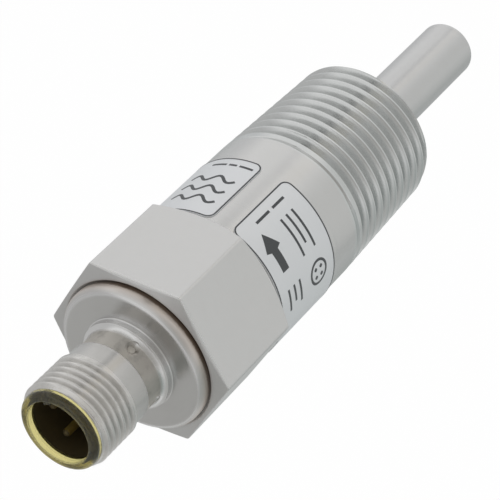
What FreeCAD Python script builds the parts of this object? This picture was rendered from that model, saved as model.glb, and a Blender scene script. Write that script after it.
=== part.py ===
import FreeCAD, Part
import Sketcher
import math
import os
import re

# Thermal flow switch with a screw-in probe and a round plug connector.
# Millimetres, +Z up along the axis with the connector at the top. The origin lies on the axis at the
# upper end of the taper pipe thread, and +X runs through a corner of the hexagon.
# Radii are measured from the axis and levels along it, unless a name says otherwise.
DIMENSIONS = {
    # Housing: taper pipe thread 1/2-14, barrel and hexagon 22 mm across flats
    "thread_length": 19.8,
    "thread_taper": 0.0625,
    "thread_pitch": 1.8143,
    "thread_depth": 1.3,
    "thread_root": 0.08,
    "thread_flank": 0.577,
    "thread_crest": -17.845,
    "thread_lead_in": 2.5,
    "thread_turns": 11,
    "thread_run_out": 1.2,
    "crest_break": 0.1,
    "crest_slope": 0.81,
    "cutter_top": 0.06,
    "nose_chamfer": 0.4,
    "barrel_radius": 10.95,
    "hex_base": 17.1,
    "hex_top": 31.4,
    "hex_flats": 22.0,
    "hex_edge_radius": 0.45,
    "hex_base_slope": 0.577,
    "hex_top_slope": 0.18,
    # Bore of the housing, from the cap's seat down to the probe
    "cap_seat": 28.4,
    "cap_radius": 10.1,
    "seam_chamfer": 0.35,
    "chamber_radius": 9.0,
    "chamber_floor": 4.0,
    "stem_radius": 6.5,
    "flange_seat": -15.0,
    # Probe sheath
    "probe_radius": 3.9,
    "probe_wall": 0.5,
    "probe_tip": -43.5,
    "tip_wall": 0.6,
    "tip_edge_radius": 0.9,
    "flange_height": 1.2,
    # End cap and its seal
    "cap_top": 33.0,
    "cap_edge_radius": 1.0,
    "cap_plate": 1.8,
    "cap_recess_radius": 8.2,
    "cap_groove_low": 29.05,
    "cap_groove_width": 1.1,
    "cap_seal_section": 0.45,
    # Connector shell: foot flange, waist, collar and M12 thread
    "spigot_radius": 5.2,
    "spigot_base": 30.4,
    "land_radius": 6.3,
    "land_height": 0.2,
    "foot_radius": 6.1,
    "foot_height": 0.9,
    "flank_slope": 0.36,
    "flank_radius": 1.0,
    "waist_radius": 5.4,
    "collar_base": 37.1,
    "collar_radius": 5.6,
    "plug_thread_base": 39.9,
    "plug_thread_radius": 5.95,
    "shell_front": 46.1,
    "front_chamfer": 0.5,
    "shell_bore_radius": 4.75,
    "carrier_seat": 36.0,
    "shank_radius": 4.2,
    # Status windows in the waist
    "window_level": 35.2,
    "window_radius": 0.55,
    "window_angle": 4.7,
    "window_recess": 0.25,
    "window_sink_radius": 0.95,
    # Contact carrier with its socket, coding rib and seal
    "lip_top": 47.2,
    "lip_radius": 5.4,
    "lip_edge_radius": 0.6,
    "lip_inner_radius": 0.25,
    "socket_radius": 4.25,
    "socket_floor": 38.4,
    "shank_base": 30.0,
    "rib_half_width": 0.55,
    "rib_depth": 0.7,
    "rib_top": 46.6,
    "carrier_groove_low": 36.7,
    "carrier_groove_width": 1.0,
    "carrier_seal_section": 0.4,
    "keying_angle": 55.0,
    # Contact pins
    "pin_circle_radius": 2.75,
    "pin_radius": 0.5,
    "pin_top": 44.8,
    "pin_tip_radius": 0.3,
    "tail_radius": 0.4,
    "tail_base": 27.4,
    # Boards
    "contact_board_radius": 4.6,
    "contact_board_base": 28.0,
    "board_thickness": 1.0,
    "tab_half_width": 1.8,
    "board_half_width": 7.6,
    "board_top": 26.8,
    "board_step": 5.5,
    "tail_half_width": 4.0,
    "board_bottom": -10.0,
    # Light sources on the contact board
    "led_reach": 3.3,
    "led_half_width": 0.5,
    "led_height": 0.6,
    # Chips on the circuit board: half width, height off the board, lower end and length
    "controller_half_width": 2.5,
    "controller_height": 0.9,
    "controller_base": 13.0,
    "controller_length": 5.0,
    "driver_half_width": 2.0,
    "driver_height": 1.2,
    "driver_base": 18.5,
    "driver_length": 3.0,
    "regulator_half_width": 1.5,
    "regulator_height": 1.1,
    "regulator_base": 12.0,
    "regulator_length": 3.0,
    "capacitor_half_width": 0.8,
    "capacitor_height": 1.2,
    "capacitor_base": 20.0,
    "capacitor_length": 3.0,
    "capacitor_pitch": 4.4,
    # Sleeve and rails that carry the board
    "sleeve_wall": 0.5,
    "sleeve_top": 28.0,
    "rail_inner": 6.2,
    "rail_top": 27.6,
    # Sensing end
    "strip_half_width": 1.5,
    "strip_thickness": 0.2,
    "strip_top": -6.0,
    "strip_bottom": -41.5,
    "sensing_top": -36.0,
    "heater_half_width": 1.0,
    "heater_height": 0.6,
    "heater_base": -41.3,
    "heater_length": 2.0,
    "sensor_half_width": 0.6,
    "sensor_height": 0.5,
    "sensor_length": 1.8,
    "measuring_base": -38.7,
    "reference_base": -27.0,
    "potting_top": -2.0,
    # Type label
    "label_base": 5.0,
    "label_top": 17.0,
    "label_thickness": 0.12,
    "label_corner_radius": 1.2,
    "label_gap": 14.8,
    "label_gap_angle": 16.25,
}

QUARTER_TURN = 90
FULL_TURN = 360
NEAR = 1e-4
ROUGH_RADIUS = 10
LEAST_CUT = 10

doc = FreeCAD.newDocument("flow_switch")
sheet = doc.addObject("Spreadsheet::Sheet", "Dimensions")
pieces = []


def fill_sheet():
    """Write each driving dimension as a plain number with its name as alias."""
    for row, (alias, number) in enumerate(DIMENSIONS.items(), start=1):
        sheet.set(f"A{row}", alias)
        sheet.set(f"B{row}", str(number))
        sheet.setAlias(f"B{row}", alias)
    doc.recompute()


def value(alias):
    """Number in the cell that has this alias."""
    return float(sheet.get(alias))


def cells(expression):
    """Expression over aliases, rewritten to read the sheet's cells."""
    def to_cell(match):
        word = match.group(0)
        return f"Dimensions.{word}" if word in DIMENSIONS else word
    return re.sub(r"[a-z_]+", to_cell, expression)


def bind(item, path, expression):
    """Drive one property of an object from the sheet."""
    item.setExpression(path, cells(expression))


def origin_feature(body, role):
    """Plane or axis of a body's own origin."""
    return next(item for item in body.Origin.OriginFeatures if item.Role == role)


def new_body(label, turn=None):
    """Empty body for one piece, turned about the axis where an angle is given."""
    body = doc.addObject("PartDesign::Body", label)
    body.Label = label
    if turn:
        body.Placement = FreeCAD.Placement(FreeCAD.Vector(), FreeCAD.Rotation(FreeCAD.Vector(0, 0, 1), 1))
        bind(body, "Placement.Rotation.Angle", turn)
    pieces.append(body)
    return body


def new_sketch(body, name, role, level=None):
    """Sketch on one of the body's origin planes, lifted along the plane's normal."""
    sketch = body.newObject("Sketcher::SketchObject", f"{body.Name}_{name}")
    sketch.AttachmentSupport = (origin_feature(body, role), [""])
    sketch.MapMode = "FlatFace"
    if level:
        bind(sketch, "AttachmentOffset.Base.z", level)
    return sketch


def place_point(sketch, line, position, point, start):
    """Fix one end of a line, or a circle's centre, at a pair of sheet expressions."""
    axes = (("DistanceX", point[0], start.x, -2), ("DistanceY", point[1], start.y, -1))
    for kind, expression, first_guess, axis in axes:
        if expression == "0":
            sketch.addConstraint(Sketcher.Constraint("PointOnObject", line, position, axis))
            continue
        number = sketch.addConstraint(Sketcher.Constraint(kind, -1, 1, line, position, first_guess))
        bind(sketch, f"Constraints[{number}]", expression)


def outline(body, name, role, points, level=None):
    """Closed outline of straight lines through points given as pairs of expressions."""
    sketch = new_sketch(body, name, role, level)
    count = len(points)
    angles = [FULL_TURN * k / count for k in range(count)]
    rough = [FreeCAD.Vector(ROUGH_RADIUS * math.cos(math.radians(a)), ROUGH_RADIUS * math.sin(math.radians(a)), 0)
             for a in angles]
    for k in range(count):
        sketch.addGeometry(Part.LineSegment(rough[k], rough[(k + 1) % count]))
    for k in range(count):
        sketch.addConstraint(Sketcher.Constraint("Coincident", k, 2, (k + 1) % count, 1))
    for k, point in enumerate(points):
        place_point(sketch, k, 1, point, rough[k])
    return sketch


def circles(body, name, centres, radius, level, role="XY_Plane"):
    """Sketch of equal circles at centres given as pairs of expressions."""
    sketch = new_sketch(body, name, role, level)
    for k, centre in enumerate(centres):
        start = FreeCAD.Vector(k + 1, k + 1, 0)
        circle = sketch.addGeometry(Part.Circle(start, FreeCAD.Vector(0, 0, 1), 1))
        number = sketch.addConstraint(Sketcher.Constraint("Radius", circle, 1))
        bind(sketch, f"Constraints[{number}]", radius)
        place_point(sketch, circle, 3, centre, start)
    return sketch


def rectangle(body, name, x_low, x_high, y_low, y_high, level):
    """Rectangle in a level plane."""
    corners = [(x_low, y_low), (x_high, y_low), (x_high, y_high), (x_low, y_high)]
    return outline(body, name, "XY_Plane", corners, level)


def feature(body, kind, name, sketch, depth=None):
    """Sketch-based feature, with its depth driven from the sheet."""
    made = body.newObject(f"PartDesign::{kind}", f"{body.Name}_{name}")
    made.Profile = sketch
    if depth:
        bind(made, "Length", depth)
    body.Tip = made
    return made


def turned(body, name, points, cut=False, angle=None):
    """Profile of radius and level turned about the axis, added or cut."""
    sketch = outline(body, f"{name}_profile", "XZ_Plane", points)
    made = feature(body, "Groove" if cut else "Revolution", name, sketch)
    made.ReferenceAxis = (sketch, ["V_Axis"])
    if angle:
        bind(made, "Angle", angle)
    return made


def add_block(body, name, x_low, x_high, y_low, y_high, z_low, z_high):
    """Rectangular block between six expressions."""
    sketch = rectangle(body, f"{name}_outline", x_low, x_high, y_low, y_high, z_low)
    return feature(body, "Pad", name, sketch, f"({z_high}) - ({z_low})")


def cut_block(body, name, x_low, x_high, y_low, y_high, z_low, z_high):
    """Rectangular recess between six expressions."""
    sketch = rectangle(body, f"{name}_outline", x_low, x_high, y_low, y_high, z_high)
    return feature(body, "Pocket", name, sketch, f"({z_high}) - ({z_low})")


def rim_edges(made, radius, level):
    """Names of the circular edges of this radius at this level."""
    names = []
    for number, edge in enumerate(made.Shape.Edges, start=1):
        curve = edge.Curve
        if not isinstance(curve, Part.Circle):
            continue
        if abs(curve.Radius - radius) < NEAR and abs(curve.Center.z - level) < NEAR:
            names.append(f"Edge{number}")
    return names


def straight_edges(made, direction, length):
    """Names of the straight edges along a direction that have this length."""
    names = []
    for number, edge in enumerate(made.Shape.Edges, start=1):
        if not isinstance(edge.Curve, Part.Line) or abs(edge.Length - length) > NEAR:
            continue
        if abs(abs(edge.tangentAt(edge.FirstParameter).dot(direction)) - 1) < NEAR:
            names.append(f"Edge{number}")
    return names


def rounded(body, name, made, edges, radius):
    """Fillet on named edges of a feature."""
    if not edges:
        raise RuntimeError(f"{body.Label}: no edge to round for {name}")
    fillet = body.newObject("PartDesign::Fillet", f"{body.Name}_{name}")
    fillet.Base = (made, edges)
    bind(fillet, "Radius", radius)
    body.Tip = fillet
    doc.recompute()
    return fillet


def quarter_pattern(body, name, features):
    """Repeat features at four places round the axis."""
    pattern = body.newObject("PartDesign::PolarPattern", f"{body.Name}_{name}")
    pattern.Originals = features
    pattern.Axis = (origin_feature(body, "Z_Axis"), [""])
    pattern.Angle = FULL_TURN
    pattern.Occurrences = FULL_TURN // QUARTER_TURN
    body.Tip = pattern
    return pattern


def cut_thread(body, name, level, height, rise):
    """Vee groove wound about the axis from +X at a level, moving outwards by a rise for each unit of height."""
    surface = f"barrel_radius + ({level}) * thread_taper / 2"
    flank_end = "thread_root / 2 + (thread_depth - crest_break) * thread_flank"
    section = [
        (f"{surface} - thread_depth", "thread_root / 2"),
        (f"{surface} - crest_break", flank_end),
        (f"{surface} + cutter_top", f"{flank_end} + (crest_break + cutter_top) * crest_slope"),
    ]
    upper = [(radius, f"{level} + {half_width}") for radius, half_width in section]
    lower = [(radius, f"{level} - ({half_width})") for radius, half_width in reversed(section)]
    groove = outline(body, f"{name}_section", "XZ_Plane", upper + lower)
    doc.recompute()
    wound = feature(body, "SubtractiveHelix", name, groove)
    wound.ReferenceAxis = (groove, ["V_Axis"])
    wound.Mode = "pitch-height-angle"
    bind(wound, "Pitch", "thread_pitch")
    bind(wound, "Height", height)
    bind(wound, "Angle", f"atan({rise})")
    volume = wound.BaseFeature.Shape.Volume
    doc.recompute()
    if wound.Shape.Volume > volume - LEAST_CUT:
        raise RuntimeError(f"{body.Label}: {name} cut nothing")


def make_housing():
    """Hexagon, barrel and wound taper thread in one piece, with a stepped bore."""
    body = new_body("housing")
    corner = "hex_flats / sqrt(3)"
    half_corner = "hex_flats / sqrt(12)"
    flat = "hex_flats / 2"
    hexagon = outline(body, "hexagon", "XY_Plane", [
        (corner, "0"), (half_corner, flat), (f"-{half_corner}", flat),
        (f"-{corner}", "0"), (f"-{half_corner}", f"-{flat}"), (half_corner, f"-{flat}"),
    ], "hex_base")
    bar = feature(body, "Pad", "bar", hexagon, "hex_top - hex_base")
    doc.recompute()
    edges = straight_edges(bar, FreeCAD.Vector(0, 0, 1), value("hex_top") - value("hex_base"))
    rounded(body, "bar_edges", bar, edges, "hex_edge_radius")

    nose_radius = "barrel_radius - thread_length * thread_taper / 2"
    turned(body, "barrel", [
        ("0", "-thread_length"),
        (f"{nose_radius} - nose_chamfer", "-thread_length"),
        (nose_radius, "nose_chamfer - thread_length"),
        ("barrel_radius", "0"),
        ("barrel_radius", "hex_base + hex_edge_radius"),
        ("0", "hex_base + hex_edge_radius"),
    ])
    turned(body, "lower_corners", [
        ("barrel_radius", "hex_base"),
        ("hex_flats", "hex_base"),
        ("hex_flats", "hex_base + (hex_flats - barrel_radius) * hex_base_slope"),
    ], cut=True)
    turned(body, "upper_corners", [
        (flat, "hex_top"),
        ("hex_flats", "hex_top"),
        ("hex_flats", "hex_top - (hex_flats / 2) * hex_top_slope"),
    ], cut=True)
    turned(body, "bore", [
        ("0", "hex_top"),
        ("cap_radius + seam_chamfer", "hex_top"),
        ("cap_radius", "hex_top - seam_chamfer"),
        ("cap_radius", "cap_seat"),
        ("chamber_radius", "cap_seat"),
        ("chamber_radius", "chamber_floor"),
        ("stem_radius", "chamber_floor"),
        ("stem_radius", "flange_seat"),
        ("probe_radius", "flange_seat"),
        ("probe_radius", "-thread_length"),
        ("0", "-thread_length"),
    ], cut=True)
    doc.recompute()
    start = "thread_crest - thread_lead_in * thread_pitch"
    cut_thread(body, "thread", start, "thread_turns * thread_pitch", "thread_taper / 2")
    cut_thread(body, "thread_run_out", f"{start} + thread_turns * thread_pitch",
               "thread_run_out * thread_pitch", "thread_depth / (thread_run_out * thread_pitch)")


def make_probe_sheath():
    """Thin tube with a closed tip, hung by its flange on the seat in the housing."""
    body = new_body("probe_sheath")
    flange_top = "flange_seat + flange_height"
    inner = "probe_radius - probe_wall"
    tube = turned(body, "tube", [
        ("0", "probe_tip"),
        ("probe_radius", "probe_tip"),
        ("probe_radius", "flange_seat"),
        ("stem_radius", "flange_seat"),
        ("stem_radius", flange_top),
        (inner, flange_top),
        (inner, "probe_tip + tip_wall"),
        ("0", "probe_tip + tip_wall"),
    ])
    doc.recompute()
    rounded(body, "tip_edge", tube, rim_edges(tube, value("probe_radius"), value("probe_tip")), "tip_edge_radius")


def make_end_cap():
    """Cap with a rounded rim, a seal groove in its skirt and a hole for the connector's spigot."""
    body = new_body("end_cap")
    groove_top = "cap_groove_low + cap_groove_width"
    groove_floor = "cap_radius - 2 * cap_seal_section"
    cup = turned(body, "cup", [
        ("spigot_radius", "cap_top"),
        ("cap_radius", "cap_top"),
        ("cap_radius", groove_top),
        (groove_floor, groove_top),
        (groove_floor, "cap_groove_low"),
        ("cap_radius", "cap_groove_low"),
        ("cap_radius", "cap_seat"),
        ("cap_recess_radius", "cap_seat"),
        ("cap_recess_radius", "cap_top - cap_plate"),
        ("spigot_radius", "cap_top - cap_plate"),
    ])
    doc.recompute()
    rounded(body, "rim", cup, rim_edges(cup, value("cap_radius"), value("cap_top")), "cap_edge_radius")


def make_connector_shell():
    """Turned neck: spigot, foot, flared waist with four countersunk window holes, collar and thread blank."""
    body = new_body("connector_shell", "window_angle")
    foot_top = "cap_top + foot_height"
    neck = turned(body, "neck", [
        ("shank_radius", "spigot_base"),
        ("spigot_radius", "spigot_base"),
        ("spigot_radius", "cap_top"),
        ("land_radius", "cap_top"),
        ("land_radius", "cap_top + land_height"),
        ("foot_radius", "cap_top + land_height"),
        ("foot_radius", foot_top),
        ("waist_radius", f"{foot_top} + (foot_radius - waist_radius) * flank_slope"),
        ("waist_radius", "collar_base - (collar_radius - waist_radius)"),
        ("collar_radius", "collar_base"),
        ("collar_radius", "plug_thread_base"),
        ("plug_thread_radius", "plug_thread_base"),
        ("plug_thread_radius", "shell_front - front_chamfer"),
        ("plug_thread_radius - front_chamfer", "shell_front"),
        ("shell_bore_radius", "shell_front"),
        ("shell_bore_radius", "carrier_seat"),
        ("shank_radius", "carrier_seat"),
    ])
    doc.recompute()
    flare = (value("foot_radius") - value("waist_radius")) * value("flank_slope")
    flank_top = value("cap_top") + value("foot_height") + flare
    rounded(body, "flank", neck, rim_edges(neck, value("waist_radius"), flank_top), "flank_radius")
    hole = circles(body, "window", [("0", "window_level")], "window_radius", None, "YZ_Plane")
    drilled = feature(body, "Pocket", "window_hole", hole, "foot_radius")
    drilled.Reversed = True
    cone = outline(body, "sink_profile", "XZ_Plane", [
        ("waist_radius - window_sink_radius", "0"),
        ("foot_radius", "0"),
        ("foot_radius", "window_sink_radius"),
        ("waist_radius", "window_sink_radius"),
    ])
    bind(cone, "AttachmentOffset.Base.y", "window_level")
    sunk = feature(body, "Groove", "window_sink", cone)
    sunk.ReferenceAxis = (cone, ["H_Axis"])
    quarter_pattern(body, "window_holes", [drilled, sunk])


def make_led_windows():
    """Four clear plugs that fill the holes of the waist up to their countersinks."""
    for number in range(FULL_TURN // QUARTER_TURN):
        body = new_body(f"led_window_{number + 1}", f"window_angle + {QUARTER_TURN * number}")
        rod = circles(body, "section", [("0", "window_level")], "window_radius", None, "YZ_Plane")
        feature(body, "Pad", "rod", rod, "waist_radius - window_recess")
        shank = circles(body, "shank", [("0", "0")], "shank_radius", "window_level + 2 * window_radius")
        feature(body, "Pocket", "shank_side", shank, "4 * window_radius")


def make_contact_carrier():
    """Plastic insert with lip, socket, coding rib, seal groove and four contact holes."""
    body = new_body("contact_carrier", "keying_angle")
    groove_top = "carrier_groove_low + carrier_groove_width"
    groove_floor = "shell_bore_radius - 2 * carrier_seal_section"
    insert = turned(body, "insert", [
        ("0", "shank_base"),
        ("shank_radius", "shank_base"),
        ("shank_radius", "carrier_seat"),
        ("shell_bore_radius", "carrier_seat"),
        ("shell_bore_radius", "carrier_groove_low"),
        (groove_floor, "carrier_groove_low"),
        (groove_floor, groove_top),
        ("shell_bore_radius", groove_top),
        ("shell_bore_radius", "shell_front"),
        ("lip_radius", "shell_front"),
        ("lip_radius", "lip_top"),
        ("socket_radius", "lip_top"),
        ("socket_radius", "socket_floor"),
        ("0", "socket_floor"),
    ])
    doc.recompute()
    outer = rounded(body, "lip_edge", insert, rim_edges(insert, value("lip_radius"), value("lip_top")),
                    "lip_edge_radius")
    rounded(body, "lip_mouth", outer, rim_edges(outer, value("socket_radius"), value("lip_top")),
            "lip_inner_radius")
    add_block(body, "coding_rib", "socket_radius - rib_depth", "(socket_radius + shell_bore_radius) / 2",
              "-rib_half_width", "rib_half_width", "socket_floor", "rib_top")
    offset = "pin_circle_radius / sqrt(2)"
    places = [(f"{x}{offset}", f"{y}{offset}") for x in ("", "-") for y in ("", "-")]
    holes = circles(body, "contacts", places, "pin_radius", "socket_floor")
    feature(body, "Pocket", "contact_holes", holes, "socket_floor - shank_base")


def make_contact_pins():
    """Four round contacts with slimmer tails, on a circle about the axis."""
    for number in range(FULL_TURN // QUARTER_TURN):
        angle = QUARTER_TURN / 2 + QUARTER_TURN * number
        body = new_body(f"contact_pin_{number + 1}", f"keying_angle + {angle}")
        middle = [("pin_circle_radius", "0")]
        pin = feature(body, "Pad", "pin", circles(body, "pin_section", middle, "pin_radius", "shank_base"),
                      "pin_top - shank_base")
        doc.recompute()
        rounded(body, "tip", pin, rim_edges(pin, value("pin_radius"), value("pin_top")), "pin_tip_radius")
        feature(body, "Pad", "tail", circles(body, "tail_section", middle, "tail_radius", "tail_base"),
                "shank_base - tail_base")


def make_seal(label, section, wall, groove_low, groove_width):
    """O-ring that fills its groove from the floor to the wall."""
    ring = doc.addObject("Part::Torus", label)
    ring.Label = label
    bind(ring, "Radius2", section)
    bind(ring, "Radius1", f"{wall} - {section}")
    bind(ring, "Placement.Base.z", f"{groove_low} + {groove_width} / 2")
    pieces.append(ring)


def make_contact_board():
    """Round board with holes for the contact tails and a slot for the circuit board's tab."""
    body = new_body("contact_board", "keying_angle")
    feature(body, "Pad", "disc", circles(body, "rim", [("0", "0")], "contact_board_radius", "contact_board_base"),
            "board_thickness")
    offset = "pin_circle_radius / sqrt(2)"
    places = [(f"{x}{offset}", f"{y}{offset}") for x in ("", "-") for y in ("", "-")]
    board_top = "contact_board_base + board_thickness"
    holes = circles(body, "tails", places, "tail_radius", board_top)
    feature(body, "Pocket", "tail_holes", holes, "board_thickness")
    cut_block(body, "tab_slot", "-tab_half_width", "tab_half_width", "-board_thickness / 2", "board_thickness / 2",
              "contact_board_base", board_top)


def make_status_leds():
    """Four light sources on the contact board, between the contacts."""
    led_base = "contact_board_base + board_thickness"
    for number in range(FULL_TURN // QUARTER_TURN):
        body = new_body(f"status_led_{number + 1}", f"keying_angle + {QUARTER_TURN * number}")
        add_block(body, "chip", "led_reach - led_half_width", "led_reach + led_half_width",
                  "-led_half_width", "led_half_width", led_base, f"{led_base} + led_height")


def make_circuit_board():
    """Upright board with a narrow tail for the threaded part and a tab for the contact board."""
    body = new_body("circuit_board", "keying_angle")
    tab_top = "contact_board_base + board_thickness"
    right = [
        ("tail_half_width", "board_bottom"), ("tail_half_width", "board_step"),
        ("board_half_width", "board_step"), ("board_half_width", "board_top"),
        ("tab_half_width", "board_top"), ("tab_half_width", tab_top),
    ]
    left = [(f"-{x}", z) for x, z in reversed(right)]
    board = feature(body, "Pad", "plate", outline(body, "edge", "XZ_Plane", right + left), "board_thickness")
    board.SideType = "Symmetric"


def chip_limits(size, face, across="0", base=None, rear=False):
    """Six limits of a chip of a named size that stands on the front or rear face of a board."""
    half, height, low = f"{size}_half_width", f"{size}_height", base or f"{size}_base"
    depth = (f"-{face} - {height}", f"-{face}") if rear else (face, f"{face} + {height}")
    return (f"{across} - {half}", f"{across} + {half}", *depth, low, f"{low} + {size}_length")


def strip_parts():
    """Limits of the sensor strip, and of the heating element and the two sensors on its front face."""
    board_face = "board_thickness / 2"
    strip_face = f"{board_face} + strip_thickness"
    return {
        "sensor_strip": ("-strip_half_width", "strip_half_width", board_face, strip_face, "strip_bottom", "strip_top"),
        "heating_element": chip_limits("heater", strip_face),
        "measuring_sensor": chip_limits("sensor", strip_face, base="measuring_base"),
        "reference_sensor": chip_limits("sensor", strip_face, base="reference_base"),
    }


def make_chips():
    """Chips on both faces of the board, and the strip with its heating element and sensors."""
    face = "board_thickness / 2"
    chips = {
        "microcontroller": chip_limits("controller", face),
        "output_driver": chip_limits("driver", face, rear=True),
        "voltage_regulator": chip_limits("regulator", face, rear=True),
    }
    for number, steps in enumerate((-1, 0, 1), start=1):
        chips[f"capacitor_{number}"] = chip_limits("capacitor", face, across=f"{steps} * capacitor_pitch")
    for label, limits in {**chips, **strip_parts()}.items():
        add_block(new_body(label, "keying_angle"), "block", *limits)


def make_sleeve_and_rails():
    """Insulating sleeve in the chamber, and two grooved rails that hold the board's edges."""
    inner = "chamber_radius - sleeve_wall"
    sleeve = new_body("insulating_sleeve")
    turned(sleeve, "tube", [
        (inner, "chamber_floor"), ("chamber_radius", "chamber_floor"),
        ("chamber_radius", "sleeve_top"), (inner, "sleeve_top"),
    ])
    for label, half_turn in (("board_rail_right", 0), ("board_rail_left", FULL_TURN // 2)):
        rail = new_body(label, f"keying_angle + {half_turn}")
        disc = circles(rail, "section", [("0", "0")], inner, "chamber_floor")
        feature(rail, "Pad", "bar", disc, "rail_top - chamber_floor")
        cut_block(rail, "open_side", "-chamber_radius", "rail_inner", "-chamber_radius", "chamber_radius",
                  "chamber_floor", "rail_top")
        cut_block(rail, "groove", "rail_inner", "board_half_width", "-board_thickness / 2", "board_thickness / 2",
                  "chamber_floor", "rail_top")


def make_sensing_end():
    """Block and filler that fill the probe's tip round the strip, and the resin plug above the flange."""
    inner = "probe_radius - probe_wall"
    floor = "probe_tip + tip_wall"
    strip_face = "board_thickness / 2"
    block = new_body("sensor_block", "keying_angle")
    feature(block, "Pad", "round", circles(block, "section", [("0", "0")], inner, floor), f"sensing_top - ({floor})")
    cut_block(block, "flat", "-probe_radius", "probe_radius", strip_face, "probe_radius", floor, "sensing_top")

    filler = new_body("thermal_filler", "keying_angle")
    feature(filler, "Pad", "round", circles(filler, "section", [("0", "0")], inner, floor),
            f"sensing_top - ({floor})")
    cut_block(filler, "flat", "-probe_radius", "probe_radius", "-probe_radius", strip_face, floor, "sensing_top")
    parts = strip_parts()
    for label in ("sensor_strip", "heating_element", "measuring_sensor"):
        x_low, x_high, _, y_high, z_low, z_high = parts[label]
        top = "sensing_top" if label == "sensor_strip" else z_high
        cut_block(filler, f"{label}_space", x_low, x_high, strip_face, y_high, z_low, top)

    plug = new_body("potting_plug", "keying_angle")
    plug_base = "flange_seat + flange_height"
    feature(plug, "Pad", "round", circles(plug, "section", [("0", "0")], "stem_radius", plug_base),
            f"potting_top - ({plug_base})")
    cut_block(plug, "board_space", "-tail_half_width", "tail_half_width", "-board_thickness / 2",
              "board_thickness / 2", "board_bottom", "potting_top")
    cut_block(plug, "strip_space", *parts["sensor_strip"][:4], plug_base, "strip_top")


def make_type_label():
    """Thin bonded label round the barrel, open at a gap and rounded at its four corners."""
    body = new_body("type_label", "label_gap_angle + label_gap / 2")
    outer = "barrel_radius + label_thickness"
    band = turned(body, "band", [
        ("barrel_radius", "label_base"), (outer, "label_base"),
        (outer, "label_top"), ("barrel_radius", "label_top"),
    ], angle=f"{FULL_TURN} - label_gap")
    doc.recompute()
    corners = []
    for number, edge in enumerate(band.Shape.Edges, start=1):
        if isinstance(edge.Curve, Part.Line) and abs(edge.Length - value("label_thickness")) < NEAR:
            corners.append(f"Edge{number}")
    rounded(body, "corners", band, corners, "label_corner_radius")


def check_and_write():
    """Stop on any failed object or bad shape, then write one file for each piece."""
    doc.recompute()
    for item in doc.Objects:
        if "Invalid" in item.State or "Error" in item.State:
            raise RuntimeError(f"{item.Label} failed: {item.State}")
    for piece in pieces:
        if piece.Shape.isNull() or not piece.Shape.isValid() or len(piece.Shape.Solids) != 1:
            raise RuntimeError(f"{piece.Label} has no valid solid")
    os.makedirs("parts", exist_ok=True)
    for piece in pieces:
        piece.Shape.exportStep(f"parts/{piece.Label}.step")
        box = piece.Shape.BoundBox
        print(f"{piece.Label}: {piece.Shape.Volume:.1f} mm3, level {box.ZMin:.2f} to {box.ZMax:.2f}")


fill_sheet()
make_housing()
make_probe_sheath()
make_end_cap()
make_seal("cap_seal", "cap_seal_section", "cap_radius", "cap_groove_low", "cap_groove_width")
make_connector_shell()
make_led_windows()
make_contact_carrier()
make_seal("carrier_seal", "carrier_seal_section", "shell_bore_radius", "carrier_groove_low",
          "carrier_groove_width")
make_contact_pins()
make_contact_board()
make_status_leds()
make_circuit_board()
make_chips()
make_sleeve_and_rails()
make_sensing_end()
make_type_label()
check_and_write()
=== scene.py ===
import math
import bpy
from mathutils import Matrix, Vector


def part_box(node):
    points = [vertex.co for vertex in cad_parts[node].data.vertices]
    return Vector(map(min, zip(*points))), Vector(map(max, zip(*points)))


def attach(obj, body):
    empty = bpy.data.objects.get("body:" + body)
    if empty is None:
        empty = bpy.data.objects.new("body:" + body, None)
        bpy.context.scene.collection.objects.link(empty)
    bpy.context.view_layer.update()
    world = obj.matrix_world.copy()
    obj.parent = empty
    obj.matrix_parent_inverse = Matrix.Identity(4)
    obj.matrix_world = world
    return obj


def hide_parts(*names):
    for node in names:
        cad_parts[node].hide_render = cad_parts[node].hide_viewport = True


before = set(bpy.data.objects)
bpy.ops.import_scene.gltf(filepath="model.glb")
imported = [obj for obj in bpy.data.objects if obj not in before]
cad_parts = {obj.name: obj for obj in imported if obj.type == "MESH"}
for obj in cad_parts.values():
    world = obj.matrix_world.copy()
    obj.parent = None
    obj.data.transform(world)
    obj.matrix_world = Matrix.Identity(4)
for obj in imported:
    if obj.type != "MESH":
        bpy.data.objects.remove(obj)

from types import SimpleNamespace

import bmesh
import bpy
from bpy.props import FloatProperty, FloatVectorProperty, IntProperty, PointerProperty
from mathutils import Matrix, Vector

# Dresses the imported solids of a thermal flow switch: turned threads, metal finishes, label and studio.
# Metres, with the axis of the object on Z, the connector at the top and +X through a hexagon corner.

bl_info = {
    "name": "Flow Switch Dressing",
    "version": (1, 0, 0),
    "blender": (4, 5, 0),
    "location": "3D View > Sidebar > Flow Switch",
    "description": "Builds the threads, finishes, label and studio of a screw-in flow switch",
    "category": "Object",
}

MM = 0.001
INCH = 25.4 * MM
PIPE_THREADS_PER_INCH = 14
TURN = 2 * math.pi
QUARTERS = 4
QUARTER = TURN / QUARTERS
HEX_SIDES = 6
SIXTH = TURN / HEX_SIDES
BODY = "root"


def reach(node):
    """Largest distance of a solid's points from the axis."""
    return max(math.hypot(v.co.x, v.co.y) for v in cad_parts[node].data.vertices)


def lowest(node):
    """Lowest level of a solid."""
    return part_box(node)[0].z


def highest(node):
    """Highest level of a solid."""
    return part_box(node)[1].z


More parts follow.
